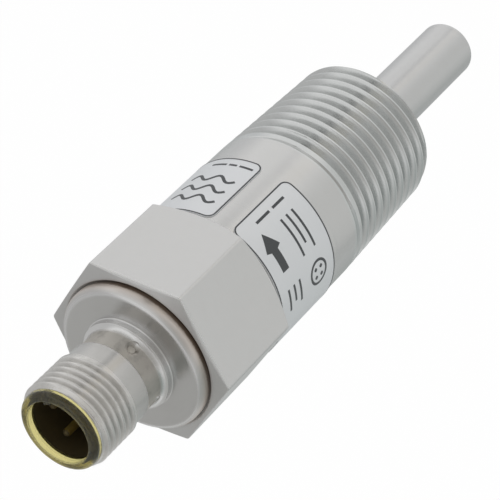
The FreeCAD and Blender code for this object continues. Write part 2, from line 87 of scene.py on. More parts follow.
# Sizes read from the solids
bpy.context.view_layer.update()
NOSE_LEVEL = lowest("housing")
HEX_TOP = highest("housing")
HALF_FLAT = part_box("housing")[1].y
CAP_RADIUS = reach("end_cap")
CAP_SEAT = lowest("end_cap")
CAP_TOP = highest("end_cap")
CHAMBER_RADIUS = reach("insulating_sleeve")
CHAMBER_FLOOR = lowest("insulating_sleeve")
FLANGE_RADIUS = reach("probe_sheath")
FLANGE_TOP = highest("probe_sheath")
PROBE_TIP = lowest("probe_sheath")
SPIGOT_BASE = lowest("connector_shell")
SHELL_FRONT = highest("connector_shell")
LAND_RADIUS = reach("connector_shell")
LIP_RADIUS = reach("contact_carrier")
LIP_TOP = highest("contact_carrier")
SHANK_BASE = lowest("contact_carrier")
PIN_TOP = highest("contact_pin_1")
TAIL_BASE = lowest("contact_pin_1")
LABEL_RADIUS = reach("type_label")
LABEL_BASE = lowest("type_label")
LABEL_TOP = highest("type_label")

# Sizes of the forms between those limits
LABEL_THICKNESS = 0.12 * MM
BARREL_RADIUS = LABEL_RADIUS - LABEL_THICKNESS
HEX_BASE = 17.1 * MM
HEX_BASE_SLOPE = 0.577
HEX_TOP_SLOPE = 0.18
HEX_EDGE = 0.45 * MM
HEX_FACE_RADIUS = HALF_FLAT - 0.35 * MM
SEAM_CHAMFER = 0.35 * MM
PROBE_RADIUS = 3.9 * MM
PROBE_WALL = 0.5 * MM
TIP_WALL = 0.6 * MM
TIP_EDGE = 0.9 * MM
FLANGE_SEAT = FLANGE_TOP - 1.2 * MM
CAP_EDGE = 1.0 * MM
CAP_PLATE = 1.8 * MM
CAP_RECESS_RADIUS = 8.2 * MM
CAP_GROOVE = (29.05 * MM, 30.15 * MM)
CAP_GROOVE_DEPTH = 0.9 * MM
SPIGOT_RADIUS = 5.2 * MM
LAND_TOP = CAP_TOP + 0.2 * MM
FOOT_RADIUS = 6.1 * MM
FOOT_TOP = CAP_TOP + 0.9 * MM
FLANK_SLOPE = 0.36
FLANK_RADIUS = 1.0 * MM
WAIST_RADIUS = 5.4 * MM
COLLAR_BASE = 37.1 * MM
COLLAR_RADIUS = 5.6 * MM
PLUG_THREAD_BASE = 39.9 * MM
PLUG_THREAD_RADIUS = 5.95 * MM
SHELL_BORE = 4.75 * MM
CARRIER_SEAT = 36.0 * MM
SHANK_RADIUS = 4.2 * MM
WINDOW_LEVEL = 35.2 * MM
WINDOW_RADIUS = 0.55 * MM
WINDOW_SINK = 0.95 * MM
WINDOW_RECESS = 0.25 * MM
WINDOW_ANGLE = math.radians(4.7)
LIP_EDGE = 0.6 * MM
LIP_SEAT = SHELL_FRONT + 0.02 * MM
LIP_MOUTH_EDGE = 0.25 * MM
SOCKET_RADIUS = 4.25 * MM
SOCKET_FLOOR = 38.4 * MM
CARRIER_GROOVE = (36.7 * MM, 37.7 * MM)
CARRIER_GROOVE_DEPTH = 0.8 * MM
RIB_HALF_WIDTH = 0.55 * MM
RIB_DEPTH = 0.7 * MM
RIB_TOP = 46.6 * MM
KEYING_ANGLE = math.radians(55)
PIN_CIRCLE = 2.75 * MM
PIN_RADIUS = 0.5 * MM
PIN_TIP = 0.42 * MM
TAIL_RADIUS = 0.4 * MM
LABEL_CORNER = 1.2 * MM
LABEL_GAP = math.radians(14.8)
LABEL_GAP_MIDDLE = math.radians(16.25)

# Mesh fineness and edge breaks
COLUMNS = 192
NECK_COLUMNS = 128
SMALL_COLUMNS = 32
CORNER_PULL = -0.8
FINE_EDGE = 0.06 * MM
SOFT_EDGE = 0.14 * MM
EDGE_STEP = 0.1 * MM
EDGE_STEPS = (3, 12)
EDGE_SHARE = 0.9
EDGE_GUARD = 0.2
WELD = 1.5e-6
SHARP_ANGLE = math.radians(34)


def length(label, words, default):
    """Property for a length in metres."""
    return FloatProperty(name=label, description=words, default=default, min=0, unit="LENGTH", precision=5)


def share(label, words, default):
    """Property for a number from 0 to 1."""
    return FloatProperty(name=label, description=words, default=default, min=0, max=1, subtype="FACTOR")


def colour(label, words, default):
    """Property for a linear colour."""
    return FloatVectorProperty(name=label, description=words, default=default, min=0, max=1, subtype="COLOR")


class FlowSwitchThreads(bpy.types.PropertyGroup):
    """Sizes of the two threads."""

    pipe_pitch: length("Pipe pitch", "Advance of the pipe thread in one turn", INCH / PIPE_THREADS_PER_INCH)
    pipe_depth: length("Pipe depth", "Depth of the pipe thread's groove", 1.3 * MM)
    pipe_taper: share("Pipe taper", "Growth of the pipe thread's radius along the axis", 1 / 32)
    pipe_run_out: length("Pipe run-out", "Advance in which the last groove rises to the surface", 2.177 * MM)
    pipe_plain: length("Pipe plain end", "Length past the run-out that has no groove", 0.247 * MM)
    pipe_chamfer: length("Pipe chamfer", "Chamfer at the nose of the pipe thread", 0.4 * MM)
    pipe_crest: FloatProperty(
        name="Pipe crest", description="Level of one pipe thread crest at azimuth 0",
        default=-17.845 * MM, unit="LENGTH", precision=5)
    plug_pitch: length("Plug pitch", "Advance of the plug thread in one turn", 1.0 * MM)
    plug_depth: length("Plug depth", "Depth of the plug thread's groove", 0.56 * MM)
    plug_run_out: length("Plug run-out", "Advance in which the last groove rises to the surface", 0.7 * MM)
    plug_plain: length("Plug plain end", "Length past the run-out that has no groove", 0.08 * MM)
    plug_chamfer: length("Plug chamfer", "Chamfer at the front of the plug thread", 0.5 * MM)
    plug_crest: length("Plug crest", "Level of one plug thread crest at azimuth 0", 40.394 * MM)
    pipe_roundness: share("Pipe roundness", "How far the pipe thread's flanks are worn to a wave", 0.5)
    plug_roundness: share("Plug roundness", "How far the plug thread's flanks are rolled to a wave", 1.0)
    crest_flat: share("Crest flat", "Share of the pitch that is flat at the crests", 0.125)
    root_flat: share("Root flat", "Share of the pitch that is flat at the roots", 0.045)
    rows: IntProperty(name="Rows", description="Mesh rows in one pitch", default=16, min=8, max=32)


class FlowSwitchFinishes(bpy.types.PropertyGroup):
    """Colours of the finishes."""

    steel: colour("Turned steel", "Body and cap", (0.60, 0.597, 0.59))
    cut: colour("Cut steel", "Pipe thread", (0.60, 0.61, 0.605))
    drawn: colour("Drawn steel", "Flats of the hexagon and foot of the neck", (0.665, 0.662, 0.655))
    probe: colour("Probe steel", "Polished probe sheath", (0.635, 0.635, 0.633))
    neck: colour("Neck steel", "Connector shell", (0.53, 0.522, 0.506))
    dull: colour("Dull waist", "Unpolished steel between the foot and the collar", (0.56, 0.536, 0.497))
    worn: colour("Worn thread", "Plug thread, bright from use", (0.655, 0.643, 0.622))
    straw: colour("Straw tint", "Thin oxide on the cap's rim", (0.68, 0.585, 0.515))
    scorch: colour("Heat tint", "Thick oxide in the welded seam", (0.20, 0.15, 0.115))
    amber: colour("Amber plastic", "Clear plastic of the contact carrier's lip", (0.74, 0.67, 0.29))
    # Painted shade: the carrier's own plastic, made near black where the steel shell stands behind it
    painted_shade_amber: colour("Carrier depth", "Same plastic where steel stands behind it", (0.042, 0.032, 0.016))
    gold: colour("Contact gold", "Plating of the contacts", (0.45, 0.33, 0.09))
    # Painted shade: the contacts' tips are darkened instead of mirroring the light
    tip: colour("Contact tip", "Dull plating at the contacts' tips", (0.10, 0.08, 0.045))
    lens: colour("Window", "Clear plastic of the status windows", (0.62, 0.585, 0.53))
    film: colour("Label film", "Face of the type label", (0.775, 0.79, 0.81))
    ink: colour("Label ink", "Border and signs on the label", (0.06, 0.065, 0.07))


class FlowSwitchStudio(bpy.types.PropertyGroup):
    """Light and floor."""

    floor_drop: length("Floor drop", "Distance from the probe's tip down to the floor", 700 * MM)
    sky: FloatProperty(
        name="Sky", description="Strength of the even light from all round", default=0.85, min=0)
    key: FloatProperty(name="Key", description="Power of the soft lamp", default=0.05, min=0, unit="POWER")


NOISE_MEAN = 0.5


def arithmetic(operation):
    """Two methods for a sign of arithmetic, with a wire before it and with a wire after it."""
    def forward(self, other):
        return self.maths(operation, other)

    def reflected(self, other):
        return Wire.node(self.socket.id_data, "ShaderNodeMath", {"operation": operation}, {0: other, 1: self})
    return forward, reflected


class Wire:
    """One output socket of a node tree, used in plain arithmetic."""

    def __init__(self, socket):
        self.socket = socket

    @classmethod
    def node(cls, tree, kind, settings=None, inputs=None, output=0):
        """Add a node with its settings and its sockets' values or links, and give one of its outputs."""
        made = tree.nodes.new(kind)
        for name, setting in (settings or {}).items():
            setattr(made, name, setting)
        for key, given in (inputs or {}).items():
            if isinstance(given, Wire):
                tree.links.new(given.socket, made.inputs[key])
            else:
                made.inputs[key].default_value = given
        return cls(made.outputs[output]) if made.outputs else made

    def maths(self, operation, *values, clamp=False):
        """Math node on this wire and other wires or numbers."""
        settings = {"operation": operation, "use_clamp": clamp}
        return Wire.node(self.socket.id_data, "ShaderNodeMath", settings, dict(enumerate((self, *values))))

    __add__, __radd__ = arithmetic("ADD")
    __sub__, __rsub__ = arithmetic("SUBTRACT")
    __mul__, __rmul__ = arithmetic("MULTIPLY")
    __truediv__, __rtruediv__ = arithmetic("DIVIDE")

    def __abs__(self):
        return self.maths("ABSOLUTE")

    def least(self, other):
        return self.maths("MINIMUM", other)

    def most(self, other):
        return self.maths("MAXIMUM", other)

    def unit(self):
        """Held between 0 and 1."""
        return self.maths("ADD", 0, clamp=True)

    def above(self, limit, fade):
        """0 up to a limit, rising to 1 over a fade past it."""
        return ((self - limit) / fade).unit()

    def below(self, limit, fade):
        """0 past a limit, rising to 1 over a fade short of it."""
        return ((limit - self) / fade).unit()

    def swing(self, size):
        """Noise between 0 and 1 as a swing of a size about 0."""
        return (self - NOISE_MEAN) * size


def opaque(rgb, light=1.0):
    """Colour with full alpha, at a share of its light."""
    return (*(part * light for part in rgb), 1)


# Sockets of a Mix node that is set to colours
MIX_FACTOR, MIX_FIRST, MIX_SECOND, MIX_RESULT = 0, 6, 7, 2


def blend_colours(tree, factor, first, second):
    """Colour that goes from the first to the second as the factor goes from 0 to 1."""
    ends = {MIX_FACTOR: factor, MIX_FIRST: first, MIX_SECOND: second}
    return Wire.node(tree, "ShaderNodeMix", {"data_type": "RGBA"}, ends, output=MIX_RESULT)


def mottled(tree, pattern, base, light):
    """Colour that follows a pattern from its base to a lighter or darker shade."""
    return blend_colours(tree, pattern, opaque(base), opaque(base, light))


# Meshes


def column_angles(count, pull=0.0):
    """Azimuths of a mesh's columns, drawn together at the hexagon's corners where a pull is given."""
    steps = [TURN * k / count for k in range(count)]
    return [t + pull / HEX_SIDES * math.sin(HEX_SIDES * t) for t in steps]


def stepped(radius, *moves):
    """Sharp corners of an outline that moves by turns along to a level and across to a radius."""
    corners = []
    for k, move in enumerate(moves):
        if k % 2:
            radius = move
        else:
            level = move
        corners.append((radius, level, 0))
    return corners


def softened(corners, closed):
    """Profile of radius and level points, with each corner rounded by its own third number."""
    points = []
    count = len(corners)
    for k, (radius, level, rounding) in enumerate(corners):
        corner = Vector((radius, level))
        if rounding == 0 or (not closed and k in (0, count - 1)):
            points.append(corner)
            continue
        steps = min(EDGE_STEPS[1], EDGE_STEPS[0] + round(rounding / EDGE_STEP))
        previous, following = corners[k - 1], corners[(k + 1) % count]
        before, after = Vector(previous[:2]) - corner, Vector(following[:2]) - corner
        half = before.angle(after) / 2
        reach_back = before.length * EDGE_SHARE * rounding / (rounding + previous[2])
        reach_on = after.length * EDGE_SHARE * rounding / (rounding + following[2])
        tangent = min(rounding / math.tan(half), reach_back, reach_on)
        inward = (before.normalized() + after.normalized()).normalized()
        centre = corner + inward * (tangent / math.cos(half))
        first = corner + before.normalized() * tangent
        last = corner + after.normalized() * tangent
        bow = (first - centre).length
        points.append(first + before.normalized() * min(EDGE_GUARD * tangent, reach_back - tangent))
        for step in range(steps + 1):
            spoke = (first - centre).lerp(last - centre, step / steps)
            points.append(centre + spoke.normalized() * bow)
        points.append(last + after.normalized() * min(EDGE_GUARD * tangent, reach_on - tangent))
    return points


def wrapped(radius, azimuth, level):
    """Point at a distance from the axis, an azimuth and a level."""
    return Vector((radius * math.cos(azimuth), radius * math.sin(azimuth), level))


def quarters_from(start):
    """Four azimuths a quarter turn apart."""
    return [start + QUARTER * k for k in range(QUARTERS)]


def join_rings(bm, rings, around=True, closed=True):
    """Skin over rings of points, either all round or capped at both ends."""
    for ring, following in zip(rings, rings[1:] + (rings[:1] if around else [])):
        count = len(ring)
        for j in range(count if closed else count - 1):
            k = (j + 1) % count
            bm.faces.new((ring[j], following[j], following[k], ring[k]))
    if not around:
        bm.faces.new(rings[0])
        bm.faces.new(rings[-1])


def add_columns(bm, angles, profile_at, closed):
    """Join one profile for each azimuth into a skin all round the axis."""
    rings = [[bm.verts.new(wrapped(p.x, angle, p.y)) for p in profile_at(angle)] for angle in angles]
    join_rings(bm, rings, closed=closed)


def finished_mesh(bm, name):
    """Weld, face outwards and smooth a mesh, keeping its hard edges."""
    bmesh.ops.remove_doubles(bm, verts=bm.verts, dist=WELD)
    bmesh.ops.dissolve_degenerate(bm, edges=bm.edges, dist=WELD)
    bmesh.ops.recalc_face_normals(bm, faces=bm.faces)
    for face in bm.faces:
        face.smooth = True
    mesh = bpy.data.meshes.new(name)
    bm.to_mesh(mesh)
    bm.free()
    mesh.set_sharp_from_angle(angle=SHARP_ANGLE)
    return mesh


def new_object(name, data, material=None):
    """Object at the origin, with a material where its data is a mesh to be shown."""
    piece = bpy.data.objects.new(name, data)
    bpy.context.scene.collection.objects.link(piece)
    if material:
        data.materials.clear()
        data.materials.append(material)
    return piece


def turned_mesh(name, corners, columns, closed=True):
    """Mesh of a profile turned about the axis. An open profile starts and ends on the axis."""
    profile = softened(corners, closed)
    bm = bmesh.new()
    add_columns(bm, column_angles(columns), lambda angle: profile, closed)
    return finished_mesh(bm, name)


def plain_mesh(piece):
    """Mesh of an object as its modifiers leave it."""
    depsgraph = bpy.context.evaluated_depsgraph_get()
    return bpy.data.meshes.new_from_object(piece.evaluated_get(depsgraph), depsgraph=depsgraph)


def combined(piece, tool_mesh, operation):
    """Cut or join a second mesh into an object's mesh."""
    tool = new_object(f"{piece.name}_tool", tool_mesh)
    modifier = piece.modifiers.new("combine", "BOOLEAN")
    modifier.operation = operation
    modifier.solver = "EXACT"
    modifier.object = tool
    bpy.context.view_layer.update()
    mesh = plain_mesh(piece)
    piece.modifiers.remove(modifier)
    bpy.data.objects.remove(tool)
    materials = list(piece.data.materials)
    bm = bmesh.new()
    bm.from_mesh(mesh)
    piece.data = finished_mesh(bm, piece.name)
    for material in materials:
        piece.data.materials.append(material)


def dress(piece, node):
    """Let a piece stand for a solid of the frame."""
    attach(piece, BODY)
    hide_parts(node)


def add_turned(name, node, material, corners, columns, closed=False, placed=Matrix()):
    """Turned piece that stands for a solid, moved from the axis to its place."""
    mesh = turned_mesh(name, corners, columns, closed)
    mesh.transform(placed)
    dress(new_object(name, mesh, material), node)


# Threads

GRID_HALF = 0.5
HALF_PITCH = 0.5
SPARE_TURNS = 2.0
# Sizes that each of the two threads has of its own
OWN_SIZES = ("pitch", "depth", "run_out", "plain", "chamfer", "crest", "roundness")


def thread_tree():
    """Geometry Nodes tree that winds a vee thread on a round or tapered bar, with a chamfered nose."""
    tree = bpy.data.node_groups.new("vee_thread", "GeometryNodeTree")
    numbers = (*OWN_SIZES, "nose", "direction", "span", "nose_radius", "taper", "first_turn", "turns",
               "crest_flat", "root_flat", "pull")
    sockets = dict.fromkeys(numbers, "Float") | {"columns": "Int", "rows": "Int", "material": "Material"}
    for name, kind in sockets.items():
        tree.interface.new_socket(name, in_out="INPUT", socket_type=f"NodeSocket{kind}")
    tree.interface.new_socket("Geometry", in_out="OUTPUT", socket_type="NodeSocketGeometry")
    source = tree.nodes.new("NodeGroupInput")
    given = SimpleNamespace(**{name: Wire(source.outputs[name]) for name in sockets})

    grid = Wire.node(tree, "GeometryNodeMeshGrid", None, {
        "Size X": 2 * GRID_HALF, "Size Y": 2 * GRID_HALF, "Vertices X": given.columns + 1,
        "Vertices Y": given.turns * given.rows + 1})
    place = Wire.node(tree, "ShaderNodeSeparateXYZ", None, {0: Wire.node(tree, "GeometryNodeInputPosition")})
    across = place + GRID_HALF
    along = Wire(place.socket.node.outputs[1]) + GRID_HALF
    even = across * TURN
    azimuth = even + given.pull * (even * HEX_SIDES).maths("SINE") / HEX_SIDES
    turn = azimuth / TURN
    level = given.crest + (given.first_turn + along * given.turns + turn) * given.pitch
    inside = ((level - given.nose) * given.direction).most(0).least(given.span)
    level = given.nose + inside * given.direction
    phase = (level - given.crest) / given.pitch - turn
    away = abs(phase - phase.maths("ROUND")) * 2
    groove = ((away - given.crest_flat) / (1 - given.crest_flat - given.root_flat)).unit()
    wave = groove * groove * (3 - groove * 2)
    groove = groove + (wave - groove) * given.roundness
    middle = given.crest + (phase.maths("FLOOR") + HALF_PITCH + turn) * given.pitch
    left = given.span - given.plain - (middle - given.nose) * given.direction
    depth = (groove + (left / given.run_out).unit() - 1).most(0) * given.depth
    radius = given.nose_radius + inside * given.taper - depth
    radius = radius.least(given.nose_radius - given.chamfer + inside)
    point = Wire.node(tree, "ShaderNodeCombineXYZ", None, {
        0: radius * azimuth.maths("COSINE"), 1: radius * azimuth.maths("SINE"), 2: level})
    skin = Wire.node(tree, "GeometryNodeSetPosition", None, {"Geometry": grid, "Position": point})
    skin = Wire.node(tree, "GeometryNodeMergeByDistance", None, {"Geometry": skin, "Distance": WELD})
    skin = Wire.node(tree, "GeometryNodeRealizeInstances", None, {"Geometry": skin})
    skin = Wire.node(tree, "GeometryNodeSetMaterial", None, {"Geometry": skin, "Material": given.material})
    Wire.node(tree, "NodeGroupOutput", None, {"Geometry": skin})
    return tree


def wound_thread(kind, sizes, material, columns, nose, direction, span, nose_radius, taper=0.0, pull=0.0):
    """Plain mesh of the pipe or plug thread, wound from its nose over a span."""
    own = {name: getattr(sizes, f"{kind}_{name}") for name in OWN_SIZES}
    low = min(nose, nose + direction * span)
    given = own | {
        "nose": nose, "direction": direction, "span": span, "nose_radius": nose_radius, "taper": taper,
        "first_turn": math.floor((low - own["crest"]) / own["pitch"]) - SPARE_TURNS,
        "turns": math.ceil(span / own["pitch"]) + 2 * SPARE_TURNS,
        "crest_flat": sizes.crest_flat, "root_flat": sizes.root_flat, "rows": sizes.rows,
        "columns": columns, "pull": pull, "material": material}
    tree = bpy.data.node_groups.get("vee_thread") or thread_tree()
    holder = new_object("thread_holder", bpy.data.meshes.new("thread_holder"))
    modifier = holder.modifiers.new("thread", "NODES")
    modifier.node_group = tree
    for socket in tree.interface.items_tree:
        if socket.in_out == "INPUT":
            modifier[socket.identifier] = given[socket.name]
    mesh = plain_mesh(holder)
    bpy.data.objects.remove(holder)
    return mesh


def threaded_mesh(name, thread, angles, profile_at, nose):
    """Join a thread to the rest of its piece, and close the flat ring at the nose."""
    bm = bmesh.new()
    bm.from_mesh(thread)
    add_columns(bm, angles, profile_at, closed=False)
    bmesh.ops.remove_doubles(bm, verts=bm.verts, dist=WELD)
    rims = [edge for edge in bm.edges if edge.is_boundary
            and all(abs(vert.co.z - nose) < WELD for vert in edge.verts)]
    bmesh.ops.bridge_loops(bm, edges=rims)
    return finished_mesh(bm, name)


# Finishes


def empty_material(name):
    """Material with an empty tree."""
    material = bpy.data.materials.new(name)
    material.use_nodes = True
    material.node_tree.nodes.clear()
    return material, material.node_tree


def new_material(name):
    """Empty material with its tree and its object coordinates in millimetres."""
    material, tree = empty_material(name)
    place = Wire.node(tree, "ShaderNodeTexCoord", output="Object")
    place = Wire.node(tree, "ShaderNodeVectorMath", {"operation": "SCALE"}, {0: place, "Scale": 1 / MM})
    return material, tree, place


def parts_of(tree, place):
    """Distance from the axis, level and azimuth of a point."""
    x = Wire.node(tree, "ShaderNodeSeparateXYZ", None, {0: place})
    y, z = (Wire(x.socket.node.outputs[k]) for k in (1, 2))
    return (x * x + y * y).maths("SQRT"), z, y.maths("ARCTAN2", x)


def noise(tree, place, scale, detail=2.0, rough=0.5):
    """Noise between 0 and 1."""
    return Wire.node(tree, "ShaderNodeTexNoise", None, {
        "Vector": place, "Scale": scale, "Detail": detail, "Roughness": rough})


def shaded(tree, sockets):
    """Principled shader with its sockets set."""
    return Wire.node(tree, "ShaderNodeBsdfPrincipled", None, sockets)


def mixed(tree, factor, first, second):
    """Shader that goes from the first to the second as the factor goes from 0 to 1."""
    return Wire.node(tree, "ShaderNodeMixShader", None, {0: factor, 1: first, 2: second})


def bumped(tree, height, strength, distance):
    """Normal tilted by a height."""
    return Wire.node(tree, "ShaderNodeBump", None, {
        "Height": height, "Strength": strength, "Distance": distance})


def output(tree, shader):
    """End a material with a shader."""
    Wire.node(tree, "ShaderNodeOutputMaterial", None, {"Surface": shader})


# Lengths in a finish are millimetres, as its coordinates are
BAND_EDGE = 0.2
STRAW_WIDTH, STRAW_FADE, STRAW_EDGE = 0.6, 0.4, 0.05
STRAW_HEIGHT, STRAW_TOP_FADE, STRAW_FOOT = 1.5, 0.9, 0.1
STRAW_STRENGTH = 0.7
OXIDE_WIDTH, OXIDE_FADE = 0.3, 0.1
OXIDE_HEIGHT, OXIDE_RISE, OXIDE_RAGGED, OXIDE_TOP_FADE = 0.1, 0.4, 0.3, 0.25
OXIDE_DEPTH, OXIDE_FOOT_FADE = 1.2, 0.3
OXIDE_SIDE = 0.8
GRAIN_PULL = 0.95
GRAIN_TURN = 0.25
RING_STRETCH = 0.3
STEEL_SHADE, CLOUD_SHADE = 0.94, 0.1
TURNING_ROUGH, CLOUD_ROUGH, SPECK_ROUGH = 0.12, 0.08, 0.05
SPECK_HEIGHT = 0.15
LIP_OVERLAP, LIP_FADE = 0.15, 0.1
CARRIER_IOR = 1.45
FILM_GRAIN, FILM_CLOUD = 0.25, 0.35


def band(level, low, high):
    """1 between two levels, with soft ends."""
    return level.above(low / MM, BAND_EDGE) * level.below(high / MM, BAND_EDGE)


def seam_tints(tree, tint, radius, level, azimuth, specks, straw, scorch):
    """Straw tint on the cap's rim, and dark oxide in the groove round it on the side towards +X."""
    rim, face = CAP_RADIUS / MM, HEX_TOP / MM
    warm = radius.above(rim - STRAW_WIDTH, STRAW_FADE) * radius.below(rim + STRAW_EDGE, STRAW_EDGE)
    warm = warm * level.below(face + STRAW_HEIGHT, STRAW_TOP_FADE)
    warm = warm * level.above(face - STRAW_FOOT, STRAW_FOOT)
    tint = blend_colours(tree, warm * STRAW_STRENGTH, tint, opaque(straw))
    near = (azimuth.maths("COSINE") / OXIDE_SIDE).unit()
    top = near * OXIDE_RISE + specks.swing(OXIDE_RAGGED) + (face + OXIDE_HEIGHT)
    dark = radius.above(rim - OXIDE_WIDTH, OXIDE_FADE) * radius.below(rim + OXIDE_WIDTH, OXIDE_FADE)
    dark = dark * level.below(top, OXIDE_TOP_FADE) * level.above(face - OXIDE_DEPTH, OXIDE_FOOT_FADE)
    return blend_colours(tree, dark * near, tint, opaque(scorch))


def steel_finish(name, base, rough, marks, seam=None, bands=()):
    """Satin steel with faint turning marks and clouded sheen.

    Each band has its lowest and highest level, its tint, its added roughness and its blotches.
    """
    material, tree, place = new_material(name)
    radius, level, azimuth = parts_of(tree, place)
    rings = Wire.node(tree, "ShaderNodeCombineXYZ", None, {0: radius, 1: level, 2: azimuth * RING_STRETCH})
    turning = noise(tree, rings, scale=7.0, detail=3.0, rough=0.65)
    clouds = noise(tree, place, scale=0.16, detail=3.0)
    specks = noise(tree, place, scale=3.2, detail=4.0, rough=0.7)
    blotches = noise(tree, place, scale=0.75, detail=4.0, rough=0.6)
    shade = clouds * CLOUD_SHADE + turning.swing(marks) + STEEL_SHADE
    roughness = (turning.swing(TURNING_ROUGH) + clouds.swing(CLOUD_ROUGH) + specks.swing(SPECK_ROUGH)
                 + rough)
    tint = opaque(base)
    for low, high, band_tint, rougher, blotched in bands:
        inside = band(level, low, high)
        tint = blend_colours(tree, inside, tint, opaque(band_tint))
        roughness = roughness + inside * rougher
        shade = shade + inside * blotches.swing(blotched)
    tint = blend_colours(tree, shade.unit(), opaque((0, 0, 0)), tint)
    if seam:
        tint = seam_tints(tree, tint, radius, level, azimuth, specks, *seam)
    output(tree, shaded(tree, {
        "Base Color": tint, "Metallic": 1.0, "Roughness": roughness,
        "Anisotropic": GRAIN_PULL, "Anisotropic Rotation": GRAIN_TURN,
        "Normal": bumped(tree, turning + specks * SPECK_HEIGHT, strength=0.1, distance=0.02 * MM)}))
    return material


def amber_finish(name, amber, painted_shade_amber):
    """Clear amber plastic at the free lip, near black painted shade where the steel shell stands round it."""
    material, tree, place = new_material(name)
    free = parts_of(tree, place)[1].above(SHELL_FRONT / MM - LIP_OVERLAP, LIP_FADE)
    grain = noise(tree, place, scale=1.4, detail=3.0)
    lip = shaded(tree, {
        "Base Color": mottled(tree, grain * 0.3, amber, light=0.8),
        "Roughness": 0.22 + grain * 0.06, "Transmission Weight": 0.96, "IOR": CARRIER_IOR})
    # Painted shade: the same amber plastic as the lip, darkened inside the shell
    painted_shade_plastic = shaded(tree, {
        "Base Color": mottled(tree, grain * 0.5, painted_shade_amber, light=1.8),
        "Roughness": 0.3 + grain * 0.1, "IOR": CARRIER_IOR})
    output(tree, mixed(tree, free, painted_shade_plastic, lip))
    return material


def plated_finish(name, gold, tip):
    """Satin gold plating with fine wear, and painted shade at the tips."""
    material, tree, place = new_material(name)
    wear = noise(tree, place, scale=4.0, detail=4.0)
    plating = mottled(tree, wear * 0.5, gold, light=0.7)
    # Painted shade: a darker colour laid over the tips
    end = parts_of(tree, place)[1].above((PIN_TOP - PIN_TIP) / MM, BAND_EDGE)
    output(tree, shaded(tree, {
        "Base Color": blend_colours(tree, end, plating, opaque(tip)),
        "Metallic": 1.0, "Roughness": 0.6 + wear * 0.16}))
    return material


def lens_finish(name, lens):
    """Clear plastic lens whose colour wanders at random towards a darker shade."""
    material, tree, place = new_material(name)
    haze = noise(tree, place, scale=1.2)
    output(tree, shaded(tree, {
        "Base Color": mottled(tree, 1 - haze, lens, light=0.55),
        "Roughness": 0.12 + haze * 0.1, "Coat Weight": 0.5, "IOR": 1.5}))
    return material


def film_finish(name, film, rough, metallic=0.0):
    """Satin film or ink with a faint grain."""
    material, tree, place = new_material(name)
    grain = noise(tree, place, scale=9.0, detail=3.0, rough=0.6)
    clouds = noise(tree, place, scale=0.25)
    output(tree, shaded(tree, {
        "Base Color": mottled(tree, grain * FILM_GRAIN + clouds * FILM_CLOUD, film, light=0.9),
        "Metallic": metallic, "Roughness": grain.swing(0.1) + rough,
        "Normal": bumped(tree, grain, strength=0.04, distance=0.01 * MM)}))
    return material


def inner_finish(name, base, rough, metallic=0.0):
    """Finish with a mottled colour for the pieces inside."""
    material, tree, place = new_material(name)
    mottle = noise(tree, place, scale=1.1, detail=4.0, rough=0.6)
    output(tree, shaded(tree, {
        "Base Color": mottled(tree, 1 - mottle, base, light=0.82),
        "Metallic": metallic, "Roughness": mottle.swing(0.15) + rough,
        "Normal": bumped(tree, mottle, strength=0.08, distance=0.03 * MM)}))
    return material


# Pieces


def hexagon_radius(angle):
    """Distance from the axis to the rounded hexagon at an azimuth."""
    turn = (angle + SIXTH / 2) % SIXTH - SIXTH / 2
    centre = (HALF_FLAT - HEX_EDGE) / math.cos(SIXTH / 2)
    tangent = math.atan2(HEX_EDGE * math.sin(SIXTH / 2), centre + HEX_EDGE * math.cos(SIXTH / 2))
    if abs(turn) >= tangent:
        return HALF_FLAT / math.cos(SIXTH / 2 - abs(turn))
    return centre * math.cos(turn) + math.sqrt(HEX_EDGE ** 2 - (centre * math.sin(turn)) ** 2)


def housing_profile(angle):
    """Section of the housing at an azimuth, from the thread's end over the hexagon and down the bore."""
    rim = hexagon_radius(angle)
    return softened([
        (BARREL_RADIUS, 0, 0),
        (BARREL_RADIUS, HEX_BASE, FINE_EDGE),
        (rim, HEX_BASE + (rim - BARREL_RADIUS) * HEX_BASE_SLOPE, SOFT_EDGE),
        (rim, HEX_TOP - (rim - HEX_FACE_RADIUS) * HEX_TOP_SLOPE, SOFT_EDGE),
        (HEX_FACE_RADIUS, HEX_TOP, FINE_EDGE),
        (CAP_RADIUS + SEAM_CHAMFER, HEX_TOP, FINE_EDGE),
        (CAP_RADIUS, HEX_TOP - SEAM_CHAMFER, 0),
        *stepped(CAP_RADIUS, CAP_SEAT, CHAMBER_RADIUS, CHAMBER_FLOOR, FLANGE_RADIUS, FLANGE_SEAT,
                 PROBE_RADIUS, NOSE_LEVEL),
    ], closed=False)


class FLOWSWITCH_OT_housing(bpy.types.Operator):
    """Hexagon, barrel and wound taper thread"""

    bl_idname = "flow_switch.housing"
    bl_label = "Housing"

    def execute(self, context):
        sizes = context.scene.flow_switch_threads
        finishes = context.scene.flow_switch_finishes
        seam = (finishes.straw, finishes.scorch)
        steel = steel_finish("turned_steel", finishes.steel, rough=0.22, marks=0.05, seam=seam, bands=[
            (NOSE_LEVEL, 0, finishes.cut, -0.02, 0.06),
            (HEX_BASE, HEX_TOP - HEX_EDGE, finishes.drawn, 0.1, 0.03),
            (HEX_TOP - HEX_EDGE, HEX_TOP + HEX_EDGE, finishes.steel, 0.16, 0.06)])
        nose_radius = BARREL_RADIUS + NOSE_LEVEL * sizes.pipe_taper
        thread = wound_thread(
            "pipe", sizes, steel, COLUMNS, nose=NOSE_LEVEL, direction=1.0, span=-NOSE_LEVEL,
            nose_radius=nose_radius, taper=sizes.pipe_taper, pull=CORNER_PULL)
        angles = column_angles(COLUMNS, CORNER_PULL)
        mesh = threaded_mesh("threaded_housing", thread, angles, housing_profile, NOSE_LEVEL)
        piece = new_object("threaded_housing", mesh, steel)
        dress(piece, "housing")
        return {"FINISHED"}


